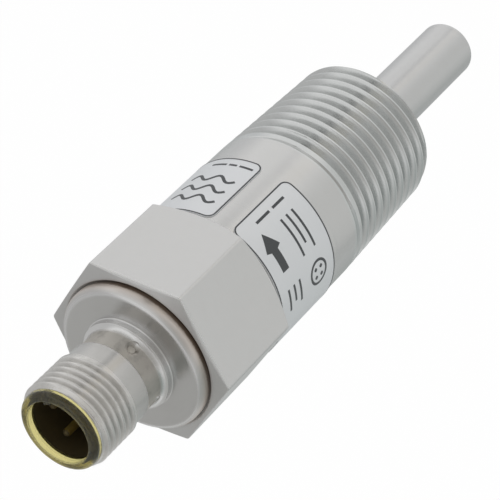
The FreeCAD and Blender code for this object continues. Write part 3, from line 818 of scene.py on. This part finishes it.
class FLOWSWITCH_OT_cap_and_probe(bpy.types.Operator):
    """End cap with its rounded rim, and probe sheath with its rounded tip"""

    bl_idname = "flow_switch.cap_and_probe"
    bl_label = "Cap and Probe"

    def execute(self, context):
        finishes = context.scene.flow_switch_finishes
        seam = (finishes.straw, finishes.scorch)
        material = steel_finish("cap_steel", finishes.steel, rough=0.2, marks=0.08, seam=seam, bands=[
            (CAP_SEAT, CAP_TOP - FINE_EDGE, finishes.steel, 0.16, 0.06),
            (CAP_TOP - FINE_EDGE, LAND_TOP, finishes.steel, 0.0, 0.10)])
        groove = CAP_RADIUS - CAP_GROOVE_DEPTH
        add_turned("turned_end_cap", "end_cap", material, [
            (SPIGOT_RADIUS, CAP_TOP, 0),
            (CAP_RADIUS, CAP_TOP, CAP_EDGE),
            *stepped(CAP_RADIUS, CAP_GROOVE[1], groove, CAP_GROOVE[0], CAP_RADIUS, CAP_SEAT,
                     CAP_RECESS_RADIUS, CAP_TOP - CAP_PLATE, SPIGOT_RADIUS),
        ], COLUMNS, closed=True)

        material = steel_finish("probe_steel", finishes.probe, rough=0.32, marks=0.04)
        inner = PROBE_RADIUS - PROBE_WALL
        add_turned("drawn_probe_sheath", "probe_sheath", material, [
            (0, PROBE_TIP, 0),
            (PROBE_RADIUS, PROBE_TIP, TIP_EDGE),
            *stepped(PROBE_RADIUS, FLANGE_SEAT, FLANGE_RADIUS, FLANGE_TOP, inner, PROBE_TIP + TIP_WALL, 0),
        ], NECK_COLUMNS)
        return {"FINISHED"}


def outwards(azimuth, level):
    """Matrix that takes what stands on the axis to a level, pointing outwards at an azimuth."""
    return (Matrix.Translation((0, 0, level)) @ Matrix.Rotation(azimuth, 4, "Z")
            @ Matrix.Rotation(QUARTER, 4, "Y"))


class FLOWSWITCH_OT_connector_shell(bpy.types.Operator):
    """Neck with foot, waist and collar, wound plug thread and four countersunk window holes"""

    bl_idname = "flow_switch.connector_shell"
    bl_label = "Connector Shell"

    def execute(self, context):
        sizes = context.scene.flow_switch_threads
        finishes = context.scene.flow_switch_finishes
        steel = steel_finish("neck_steel", finishes.neck, rough=0.24, marks=0.06, bands=[
            (CAP_TOP, FOOT_TOP + FLANK_RADIUS / 2, finishes.drawn, 0.0, 0.08),
            (FOOT_TOP + FLANK_RADIUS / 2, COLLAR_BASE, finishes.dull, 0.24, 1.2),
            (PLUG_THREAD_BASE, SHELL_FRONT, finishes.worn, 0.06, 0.4)])
        thread = wound_thread(
            "plug", sizes, steel, NECK_COLUMNS, nose=SHELL_FRONT, direction=-1.0,
            span=SHELL_FRONT - PLUG_THREAD_BASE, nose_radius=PLUG_THREAD_RADIUS)
        profile = softened([
            (SHELL_BORE, SHELL_FRONT, 0),
            *stepped(SHELL_BORE, CARRIER_SEAT, SHANK_RADIUS, SPIGOT_BASE, SPIGOT_RADIUS, CAP_TOP,
                     LAND_RADIUS),
            (LAND_RADIUS, LAND_TOP, SOFT_EDGE),
            (FOOT_RADIUS, LAND_TOP, 0),
            (FOOT_RADIUS, FOOT_TOP, FINE_EDGE),
            (WAIST_RADIUS, FOOT_TOP + (FOOT_RADIUS - WAIST_RADIUS) * FLANK_SLOPE, FLANK_RADIUS),
            (WAIST_RADIUS, COLLAR_BASE - COLLAR_RADIUS + WAIST_RADIUS, FINE_EDGE),
            (COLLAR_RADIUS, COLLAR_BASE, FINE_EDGE),
            (COLLAR_RADIUS, PLUG_THREAD_BASE, FINE_EDGE),
            (PLUG_THREAD_RADIUS, PLUG_THREAD_BASE, 0),
        ], closed=False)
        angles = column_angles(NECK_COLUMNS)
        mesh = threaded_mesh("threaded_connector_shell", thread, angles, lambda angle: profile, SHELL_FRONT)
        piece = new_object("threaded_connector_shell", mesh, steel)
        drills = bmesh.new()
        for azimuth in quarters_from(WINDOW_ANGLE):
            drill = turned_mesh("drill", [
                *stepped(0, SHANK_RADIUS - SEAM_CHAMFER, WINDOW_RADIUS,
                         WAIST_RADIUS - WINDOW_SINK + WINDOW_RADIUS),
                (WINDOW_SINK, WAIST_RADIUS, 0),
                *stepped(WINDOW_SINK, FOOT_RADIUS, 0),
            ], SMALL_COLUMNS, closed=False)
            drill.transform(outwards(azimuth, WINDOW_LEVEL))
            drills.from_mesh(drill)
        combined(piece, finished_mesh(drills, "drills"), "DIFFERENCE")
        dress(piece, "connector_shell")
        return {"FINISHED"}


class FLOWSWITCH_OT_status_windows(bpy.types.Operator):
    """Four clear lenses in the waist"""

    bl_idname = "flow_switch.status_windows"
    bl_label = "Status Windows"

    def execute(self, context):
        material = lens_finish("window_plastic", context.scene.flow_switch_finishes.lens)
        crown = WAIST_RADIUS - WINDOW_RECESS
        for number, azimuth in enumerate(quarters_from(WINDOW_ANGLE), start=1):
            add_turned(f"status_window_{number}", f"led_window_{number}", material, [
                *stepped(0, SHANK_RADIUS, WINDOW_RADIUS),
                (WINDOW_RADIUS, crown - WINDOW_RECESS / 2, SOFT_EDGE),
                (0, crown, 0),
            ], SMALL_COLUMNS, placed=outwards(azimuth, WINDOW_LEVEL))
        return {"FINISHED"}


class FLOWSWITCH_OT_contacts(bpy.types.Operator):
    """Amber contact carrier with its coding rib, and four plated contacts"""

    bl_idname = "flow_switch.contacts"
    bl_label = "Contacts"

    def execute(self, context):
        finishes = context.scene.flow_switch_finishes
        groove = SHELL_BORE - CARRIER_GROOVE_DEPTH
        insert = turned_mesh("moulded_contact_carrier", [
            *stepped(0, SHANK_BASE, SHANK_RADIUS, CARRIER_SEAT, SHELL_BORE, CARRIER_GROOVE[0], groove,
                     CARRIER_GROOVE[1], SHELL_BORE, LIP_SEAT, LIP_RADIUS),
            (LIP_RADIUS, LIP_TOP, LIP_EDGE),
            (SOCKET_RADIUS, LIP_TOP, LIP_MOUTH_EDGE),
            (SOCKET_RADIUS, SOCKET_FLOOR, SOFT_EDGE),
            (0, SOCKET_FLOOR, 0),
        ], NECK_COLUMNS, closed=False)
        material = amber_finish("amber_plastic", finishes.amber, finishes.painted_shade_amber)
        carrier = new_object("moulded_contact_carrier", insert, material)
        bm = bmesh.new()
        bmesh.ops.create_cube(bm, size=1)
        low = SOCKET_FLOOR - SEAM_CHAMFER
        inner, outer = SOCKET_RADIUS - RIB_DEPTH, (SOCKET_RADIUS + SHELL_BORE) / 2
        bmesh.ops.transform(bm, verts=bm.verts, matrix=(
            Matrix.Rotation(KEYING_ANGLE, 4, "Z")
            @ Matrix.Translation(((inner + outer) / 2, 0, (low + RIB_TOP) / 2))
            @ Matrix.Diagonal((outer - inner, 2 * RIB_HALF_WIDTH, RIB_TOP - low, 1))))
        combined(carrier, finished_mesh(bm, "rib"), "UNION")
        dress(carrier, "contact_carrier")

        plating = plated_finish("contact_gold", finishes.gold, finishes.tip)
        for number, azimuth in enumerate(quarters_from(KEYING_ANGLE + QUARTER / 2), start=1):
            turned = Matrix.Rotation(azimuth, 4, "Z")
            add_turned(f"plated_contact_{number}", f"contact_pin_{number}", plating, [
                *stepped(0, TAIL_BASE, TAIL_RADIUS, SHANK_BASE, PIN_RADIUS),
                (PIN_RADIUS, PIN_TOP, PIN_TIP),
                (0, PIN_TOP, 0),
            ], SMALL_COLUMNS, placed=turned @ Matrix.Translation((PIN_CIRCLE, 0, 0)))
        return {"FINISHED"}


# Label and print

LABEL_EDGE = LABEL_THICKNESS / 3
INK_BASE = LABEL_RADIUS - 0.005 * MM
INK_TOP = LABEL_RADIUS + 0.012 * MM
PRINT_STEP = 0.3 * MM
ARC_STEPS = 10
BORDER_INSET = 0.14 * MM
BORDER_WIDTH = 0.2 * MM
# Places on the label are azimuths in degrees and levels in millimetres
WAVE_LEVELS = (9.6, 11.8, 14.0)
WAVE_AZIMUTHS = (31, 66)
WAVE_HEIGHT = 0.55 * MM
WAVE_LENGTH = 3.3 * MM
WAVE_WIDTH = 0.42 * MM
BAR_WIDTH = 0.36 * MM
PLAIN_BARS = (
    ((28, 6.5), (38, 6.5)), ((40, 6.5), (46, 6.5)), ((48, 6.5), (60, 6.5)),
    ((0.8, 7.5), (0.8, 10.0)), ((0.8, 10.7), (0.8, 13.5)),
    ((-8, 8.0), (-36, 8.0)), ((-8, 9.2), (-30, 9.2)), ((-8, 10.4), (-36, 10.4)),
    ((-46, 12.6), (-62, 12.6)), ((-46, 13.8), (-58, 13.8)), ((-46, 15.0), (-62, 15.0)))
ARROW_PLACE = (-20, 14.2)
ARROW_HALF_LENGTH = 2.7 * MM
ARROW_HALF_HEIGHT = 1.5 * MM
ARROW_NECK = 0.1
ARROW_SHAFT = 0.42
DIAGRAM_PLACE = (-54, 8.6)
DIAGRAM_RADIUS = 1.6 * MM
DOT_RADIUS = 0.3 * MM


def label_span():
    """First azimuth of the label and its length along the barrel."""
    start = LABEL_GAP_MIDDLE + LABEL_GAP / 2
    return start, (TURN - LABEL_GAP) * LABEL_RADIUS


def label_columns():
    """Distances along the label at which its mesh has a column, close together in the rounded corners."""
    span = label_span()[1]
    corner = [LABEL_CORNER * (1 - math.cos(QUARTER * k / ARC_STEPS)) for k in range(ARC_STEPS + 1)]
    middle = [LABEL_CORNER + (span - 2 * LABEL_CORNER) * k / COLUMNS for k in range(1, COLUMNS)]
    return corner + middle + [span - d for d in reversed(corner)]


def corner_drop(along, span):
    """How far the label's edge falls back at its rounded ends."""
    past = LABEL_CORNER - min(along, span - along)
    if past <= 0:
        return 0.0
    return LABEL_CORNER - math.sqrt(max(0.0, LABEL_CORNER ** 2 - past ** 2))


def make_label_mesh():
    """Closed band with rounded corners and broken edges."""
    start, span = label_span()
    bm = bmesh.new()
    rings = []
    for along in label_columns():
        drop = corner_drop(along, span)
        low, high = LABEL_BASE + drop, LABEL_TOP - drop
        profile = softened([
            (BARREL_RADIUS, low, 0), (LABEL_RADIUS, low, LABEL_EDGE),
            (LABEL_RADIUS, high, LABEL_EDGE), (BARREL_RADIUS, high, 0)], closed=True)
        azimuth = start + along / LABEL_RADIUS
        rings.append([bm.verts.new(wrapped(p.x, azimuth, p.y)) for p in profile])
    join_rings(bm, rings, around=False)
    return finished_mesh(bm, "film_label")


def on_label(azimuth, level):
    """Place on the unrolled label, as the distance round the barrel from azimuth 0 and the level."""
    return Vector((math.radians(azimuth) * LABEL_RADIUS, level * MM))


def straight(start, end):
    """Points of a straight line on the unrolled label, close enough to wrap round the barrel."""
    count = max(1, math.ceil((end - start).length / PRINT_STEP))
    return [start.lerp(end, k / count) for k in range(count + 1)]


def oval(middle, half_width, half_height, rounding):
    """Points of a closed line with rounded corners on the unrolled label."""
    inner = Vector((half_width - rounding, half_height - rounding))
    points = []
    for corner, (side, rise) in enumerate(((1, 1), (-1, 1), (-1, -1), (1, -1))):
        centre = middle + Vector((side * inner.x, rise * inner.y))
        arc = [centre + rounding * Vector((math.cos(a), math.sin(a)))
               for a in (QUARTER * (corner + k / ARC_STEPS) for k in range(ARC_STEPS + 1))]
        if points:
            points += straight(points[-1], arc[0])[1:-1]
        points += arc
    return points + straight(points[-1], points[0])[1:-1]


def stroke(points, width, closed=False):
    """Pairs of points on the two sides of a line."""
    pairs = []
    for k, point in enumerate(points):
        before = points[k - 1] if closed or k else point
        after = points[(k + 1) % len(points)] if closed or k + 1 < len(points) else point
        ahead = (after - before).normalized() * width / 2
        pairs.append((point + Vector((-ahead.y, ahead.x)), point - Vector((-ahead.y, ahead.x))))
    return pairs


def shape(middle, half_length, half_height_at):
    """Pairs of points below and above a filled shape, from its half height at each place along it."""
    pairs = []
    for point in straight(middle - Vector((half_length, 0)), middle + Vector((half_length, 0))):
        rise = Vector((0, max(WELD, half_height_at((point.x - middle.x) / half_length))))
        pairs.append((point - rise, point + rise))
    return pairs


def add_ink(bm, pairs, around=False):
    """Raise a thin band of ink between pairs of points on the label."""
    rings = []
    for first, second in pairs:
        corners = ((first, INK_BASE), (first, INK_TOP), (second, INK_TOP), (second, INK_BASE))
        rings.append([bm.verts.new(wrapped(radius, p.x / LABEL_RADIUS, p.y)) for p, radius in corners])
    join_rings(bm, rings, around)


def add_loop(bm, points, width):
    """Ink along a closed line on the label."""
    add_ink(bm, stroke(points, width, closed=True), around=True)


def dot_half_height(place):
    """Half height of a dot from its left end at -1 to its right end at 1."""
    return DOT_RADIUS * math.sqrt(max(0.0, 1 - place ** 2))


def arrow_half_height(place):
    """Half height of an arrow from its tail at -1 to its tip at 1."""
    if place < ARROW_NECK:
        return ARROW_HALF_HEIGHT * ARROW_SHAFT
    return ARROW_HALF_HEIGHT * (1 - place) / (1 - ARROW_NECK)


def make_print_mesh():
    """Border, flow sign, arrow, plain bars and a contact diagram."""
    bm = bmesh.new()
    start, span = label_span()
    middle = Vector((start * LABEL_RADIUS + span / 2, (LABEL_BASE + LABEL_TOP) / 2))
    half_width, half_height = span / 2 - BORDER_INSET, (LABEL_TOP - LABEL_BASE) / 2 - BORDER_INSET
    add_loop(bm, oval(middle, half_width, half_height, LABEL_CORNER - BORDER_INSET), BORDER_WIDTH)
    for level in WAVE_LEVELS:
        line = straight(on_label(WAVE_AZIMUTHS[0], level), on_label(WAVE_AZIMUTHS[1], level))
        wave = [p + Vector((0, WAVE_HEIGHT * math.sin(TURN * (p.x - line[0].x) / WAVE_LENGTH))) for p in line]
        add_ink(bm, stroke(wave, WAVE_WIDTH))
    for first, second in PLAIN_BARS:
        add_ink(bm, stroke(straight(on_label(*first), on_label(*second)), BAR_WIDTH))
    add_ink(bm, shape(on_label(*ARROW_PLACE), ARROW_HALF_LENGTH, arrow_half_height))
    ring = on_label(*DIAGRAM_PLACE)
    add_loop(bm, oval(ring, DIAGRAM_RADIUS, DIAGRAM_RADIUS, DIAGRAM_RADIUS), BAR_WIDTH)
    for turn in quarters_from(QUARTER / 2):
        dot = ring + DIAGRAM_RADIUS / 2 * Vector((math.cos(turn), math.sin(turn)))
        add_ink(bm, shape(dot, DOT_RADIUS, dot_half_height))
    return finished_mesh(bm, "label_print")


class FLOWSWITCH_OT_type_label(bpy.types.Operator):
    """Film label round the barrel, with a plain print"""

    bl_idname = "flow_switch.type_label"
    bl_label = "Type Label"

    def execute(self, context):
        finishes = context.scene.flow_switch_finishes
        film = film_finish("label_film", finishes.film, rough=0.4, metallic=0.4)
        dress(new_object("film_label", make_label_mesh(), film), "type_label")
        ink = film_finish("label_ink", finishes.ink, rough=0.45)
        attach(new_object("label_print", make_print_mesh(), ink), BODY)
        return {"FINISHED"}


# Colour, roughness, metallic share and solids of each finish inside
INNER_FINISHES = {
    "seal_rubber": ((0.04, 0.04, 0.042), 0.7, 0.0, ("cap_seal", "carrier_seal")),
    "board_laminate": ((0.06, 0.22, 0.11), 0.45, 0.0, ("contact_board", "circuit_board")),
    "led_plastic": ((0.86, 0.82, 0.55), 0.3, 0.0, [f"status_led_{k}" for k in range(1, QUARTERS + 1)]),
    "chip_plastic": ((0.05, 0.05, 0.055), 0.5, 0.0, (
        "microcontroller", "output_driver", "voltage_regulator")),
    "chip_ceramic": ((0.62, 0.55, 0.45), 0.4, 0.0, (
        "capacitor_1", "capacitor_2", "capacitor_3",
        "heating_element", "measuring_sensor", "reference_sensor")),
    "insulation": ((0.82, 0.81, 0.76), 0.55, 0.0, (
        "insulating_sleeve", "board_rail_left", "board_rail_right")),
    "strip_film": ((0.55, 0.30, 0.07), 0.35, 0.0, ("sensor_strip",)),
    "copper": ((0.72, 0.43, 0.28), 0.35, 1.0, ("sensor_block",)),
    "filler_paste": ((0.78, 0.78, 0.76), 0.6, 0.0, ("thermal_filler",)),
    "potting_resin": ((0.10, 0.10, 0.11), 0.35, 0.0, ("potting_plug",)),
}


class FLOWSWITCH_OT_inner_pieces(bpy.types.Operator):
    """Finishes of the boards, chips, seals and fillings inside"""

    bl_idname = "flow_switch.inner_pieces"
    bl_label = "Inner Pieces"

    def execute(self, context):
        for slot, (base, rough, metallic, nodes) in INNER_FINISHES.items():
            material = inner_finish(slot, base, rough, metallic)
            for node in nodes:
                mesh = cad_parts[node].data
                mesh.materials.clear()
                mesh.materials.append(material)
        return {"FINISHED"}


# Stage

CAMERA_AIM = Vector((-0.05, -0.62, 7.90)) * MM
CAMERA_DISTANCE = 285.44 * MM
CAMERA_AZIMUTH = math.radians(-4.807)
CAMERA_ELEVATION = math.radians(39.911)
CAMERA_ROLL = math.radians(134.76)
CAMERA_LENS = 165.38
CAMERA_CLIP = (0.01, 10)
SENSOR_WIDTH = 36.0
FLOOR_RADIUS = 4.0
FLOOR_TONE = 0.95
FLOOR_GLOW = 0.97
WHITE = (1, 1, 1)
FLOOR_SEGMENTS = 64
CARD_SEGMENTS = 48
KEY_TOWARDS = (0.18, 0.98, -0.03)
KEY_DISTANCE = 0.5
KEY_SIZE = (0.6, 1.0)
# Direction in the picture (right, up and back to the camera), distance and half sizes in metres, share of
# the half size over which it fades, and colour
CARDS = {
    "back_card": ((0.2, -0.15, -1.0), 0.3, (0.5, 0.5), 1.0, (0.42, 0.45, 0.44)),
    "side_card": ((0.9, 0.22, -0.25), 0.4, (0.42, 0.42), 0.4, (0.76, 0.77, 0.76)),
    "far_card": ((-0.3, 0.5, -0.8), 0.4, (0.24, 0.24), 0.6, (0.74, 0.75, 0.76)),
    "left_card": ((-0.92, -0.1, -0.35), 0.4, (0.46, 0.46), 0.4, (0.66, 0.66, 0.66)),
    "low_card": ((-0.5, -0.86, 0.0), 0.4, (0.32, 0.32), 0.5, (0.50, 0.50, 0.485)),
    "corner_card": ((0.6, -0.75, 0.05), 0.4, (0.36, 0.36), 0.5, (0.435, 0.47, 0.46)),
    "front_card": ((0.2, -0.25, 0.95), 0.5, (0.5, 0.5), 0.6, (0.47, 0.46, 0.44)),
    "upper_card": ((-0.25, 0.75, 0.6), 0.6, (0.5, 0.5), 0.35, (0.70, 0.70, 0.69)),
    "gap_card": ((0.08, 0.885, 0.46), 0.55, (0.085, 0.16), 0.3, (0.06, 0.06, 0.055)),
    "warm_card": ((0.36, 0.8, 0.47), 0.45, (0.12, 0.12), 0.5, (0.86, 0.80, 0.69)),
}


def add_camera():
    """Camera at the photograph's viewing angle, rolled so that the connector points down to the left."""
    data = bpy.data.cameras.new("camera")
    data.lens = CAMERA_LENS
    data.sensor_width = SENSOR_WIDTH
    data.clip_start, data.clip_end = CAMERA_CLIP
    camera = new_object("camera", data)
    back = wrapped(math.cos(CAMERA_ELEVATION), CAMERA_AZIMUTH, math.sin(CAMERA_ELEVATION))
    roll = Matrix.Rotation(-CAMERA_ROLL, 4, "Z")
    camera.matrix_world = (Matrix.Translation(CAMERA_AIM + back * CAMERA_DISTANCE)
                           @ (-back).to_track_quat("-Z", "Y").to_matrix().to_4x4() @ roll)
    bpy.context.scene.camera = camera


def picture_direction(right, up, back):
    """Unit vector given by its parts to the right and up in the picture and back to the camera."""
    turned = bpy.context.scene.camera.matrix_world.to_3x3()
    return (turned @ Vector((right, up, back))).normalized()


def facing_object(towards, distance):
    """Place at a distance from the object, facing it."""
    return (Matrix.Translation(CAMERA_AIM + towards * distance)
            @ (-towards).to_track_quat("-Z", "Y").to_matrix().to_4x4())


def add_lamp(name, towards, distance, size, power):
    """Long soft lamp that shines at the object and isn't seen itself."""
    data = bpy.data.lights.new(name, "AREA")
    data.shape = "RECTANGLE"
    data.size, data.size_y = size
    data.energy = power
    lamp = new_object(name, data)
    lamp.matrix_world = facing_object(towards, distance)
    lamp.visible_camera = False


def glow(tree, tint):
    """Even emission of a colour."""
    return Wire.node(tree, "ShaderNodeEmission", None, {"Color": opaque(tint), "Strength": 1.0})


def add_disc(name, material, segments, placed):
    """Flat disc of the stage, from a unit circle and where it is placed."""
    bm = bmesh.new()
    bmesh.ops.create_circle(bm, cap_ends=True, segments=segments, radius=1)
    bmesh.ops.transform(bm, verts=bm.verts, matrix=placed)
    disc = new_object(name, finished_mesh(bm, name), material)
    return disc


def add_card(name, towards, distance, size, soft, tint):
    """Oval card with a faded rim that the metal mirrors, out of the camera's sight."""
    material, tree = empty_material(name)
    middle = facing_object(towards, distance)
    place = Wire.node(tree, "ShaderNodeTexCoord", output="Object")
    place = Wire.node(tree, "ShaderNodeVectorMath", {"operation": "SUBTRACT"}, {
        0: place, 1: middle.translation})
    across, along = (Wire.node(tree, "ShaderNodeVectorMath", {"operation": "DOT_PRODUCT"}, {
        0: place, 1: middle.col[k].to_3d()}, output="Value") / half for k, half in enumerate(size))
    fade = (across * across + along * along).maths("SQRT").below(1, soft)
    clear = Wire.node(tree, "ShaderNodeBsdfTransparent")
    output(tree, mixed(tree, fade, clear, glow(tree, tint)))
    card = add_disc(name, material, CARD_SEGMENTS, middle @ Matrix.Diagonal((*size, 1, 1)))
    card.visible_camera = False
    card.visible_shadow = False
    card.visible_transmission = False


def seen_directly(tree):
    """1 for rays that show the background itself, by sight, by reflection or through clear plastic."""
    rays = Wire.node(tree, "ShaderNodeLightPath").socket.node.outputs
    sight, mirror, through = (Wire(rays[f"Is {kind} Ray"]) for kind in ("Camera", "Glossy", "Transmission"))
    return (sight + mirror + through).unit()


def add_floor(level):
    """Wide pale floor that shows near white and keeps the shadow."""
    material, tree = empty_material("floor")
    pale = shaded(tree, {"Base Color": opaque(WHITE, FLOOR_TONE), "Roughness": 0.9})
    output(tree, mixed(tree, seen_directly(tree) * FLOOR_GLOW, pale, glow(tree, WHITE)))
    wide = Matrix.Diagonal((FLOOR_RADIUS, FLOOR_RADIUS, 1, 1))
    add_disc("floor", material, FLOOR_SEGMENTS, Matrix.Translation((0, 0, level)) @ wide)


def add_sky(strength):
    """White backdrop, and even light from all round."""
    world = bpy.data.worlds.new("studio")
    bpy.context.scene.world = world
    world.use_nodes = True
    tree = world.node_tree
    tree.nodes.clear()
    soft, white = (Wire.node(tree, "ShaderNodeBackground", None, {
        "Color": opaque(WHITE), "Strength": light}) for light in (strength, 1.0))
    Wire.node(tree, "ShaderNodeOutputWorld", None, {
        "Surface": mixed(tree, seen_directly(tree), soft, white)})


class FLOWSWITCH_OT_stage(bpy.types.Operator):
    """Camera, floor, backdrop, soft lamp and grey cards"""

    bl_idname = "flow_switch.stage"
    bl_label = "Stage"

    def execute(self, context):
        studio = context.scene.flow_switch_studio
        context.scene.view_settings.view_transform = "Standard"
        add_camera()
        add_floor(PROBE_TIP - studio.floor_drop)
        add_sky(studio.sky)
        add_lamp("key", picture_direction(*KEY_TOWARDS), KEY_DISTANCE, KEY_SIZE, studio.key)
        for name, (towards, *form) in CARDS.items():
            add_card(name, picture_direction(*towards), *form)
        return {"FINISHED"}


OPERATORS = (
    FLOWSWITCH_OT_housing,
    FLOWSWITCH_OT_cap_and_probe,
    FLOWSWITCH_OT_connector_shell,
    FLOWSWITCH_OT_status_windows,
    FLOWSWITCH_OT_contacts,
    FLOWSWITCH_OT_type_label,
    FLOWSWITCH_OT_inner_pieces,
    FLOWSWITCH_OT_stage,
)


class FLOWSWITCH_PT_panel(bpy.types.Panel):
    """Lists the steps and the settings in the sidebar"""

    bl_idname = "FLOWSWITCH_PT_panel"
    bl_label = "Flow Switch"
    bl_space_type = "VIEW_3D"
    bl_region_type = "UI"
    bl_category = "Flow Switch"

    def draw(self, context):
        for operator in OPERATORS:
            self.layout.operator(operator.bl_idname)
        for name in SETTINGS:
            group = getattr(context.scene, name)
            box = self.layout.box()
            for key in group.__annotations__:
                box.prop(group, key)


SETTINGS = {
    "flow_switch_threads": FlowSwitchThreads,
    "flow_switch_finishes": FlowSwitchFinishes,
    "flow_switch_studio": FlowSwitchStudio,
}


def register():
    """Add the settings, the operators and the panel."""
    for cls in (*SETTINGS.values(), *OPERATORS, FLOWSWITCH_PT_panel):
        bpy.utils.register_class(cls)
    for name, group in SETTINGS.items():
        setattr(bpy.types.Scene, name, PointerProperty(type=group))


def unregister():
    """Take the panel, the operators and the settings away."""
    for name in SETTINGS:
        delattr(bpy.types.Scene, name)
    for cls in reversed((*SETTINGS.values(), *OPERATORS, FLOWSWITCH_PT_panel)):
        bpy.utils.unregister_class(cls)


def main():
    """Build every piece in order."""
    register()
    for operator in OPERATORS:
        group, name = operator.bl_idname.split(".")
        getattr(getattr(bpy.ops, group), name)()


if __name__ == "__main__":
    main()
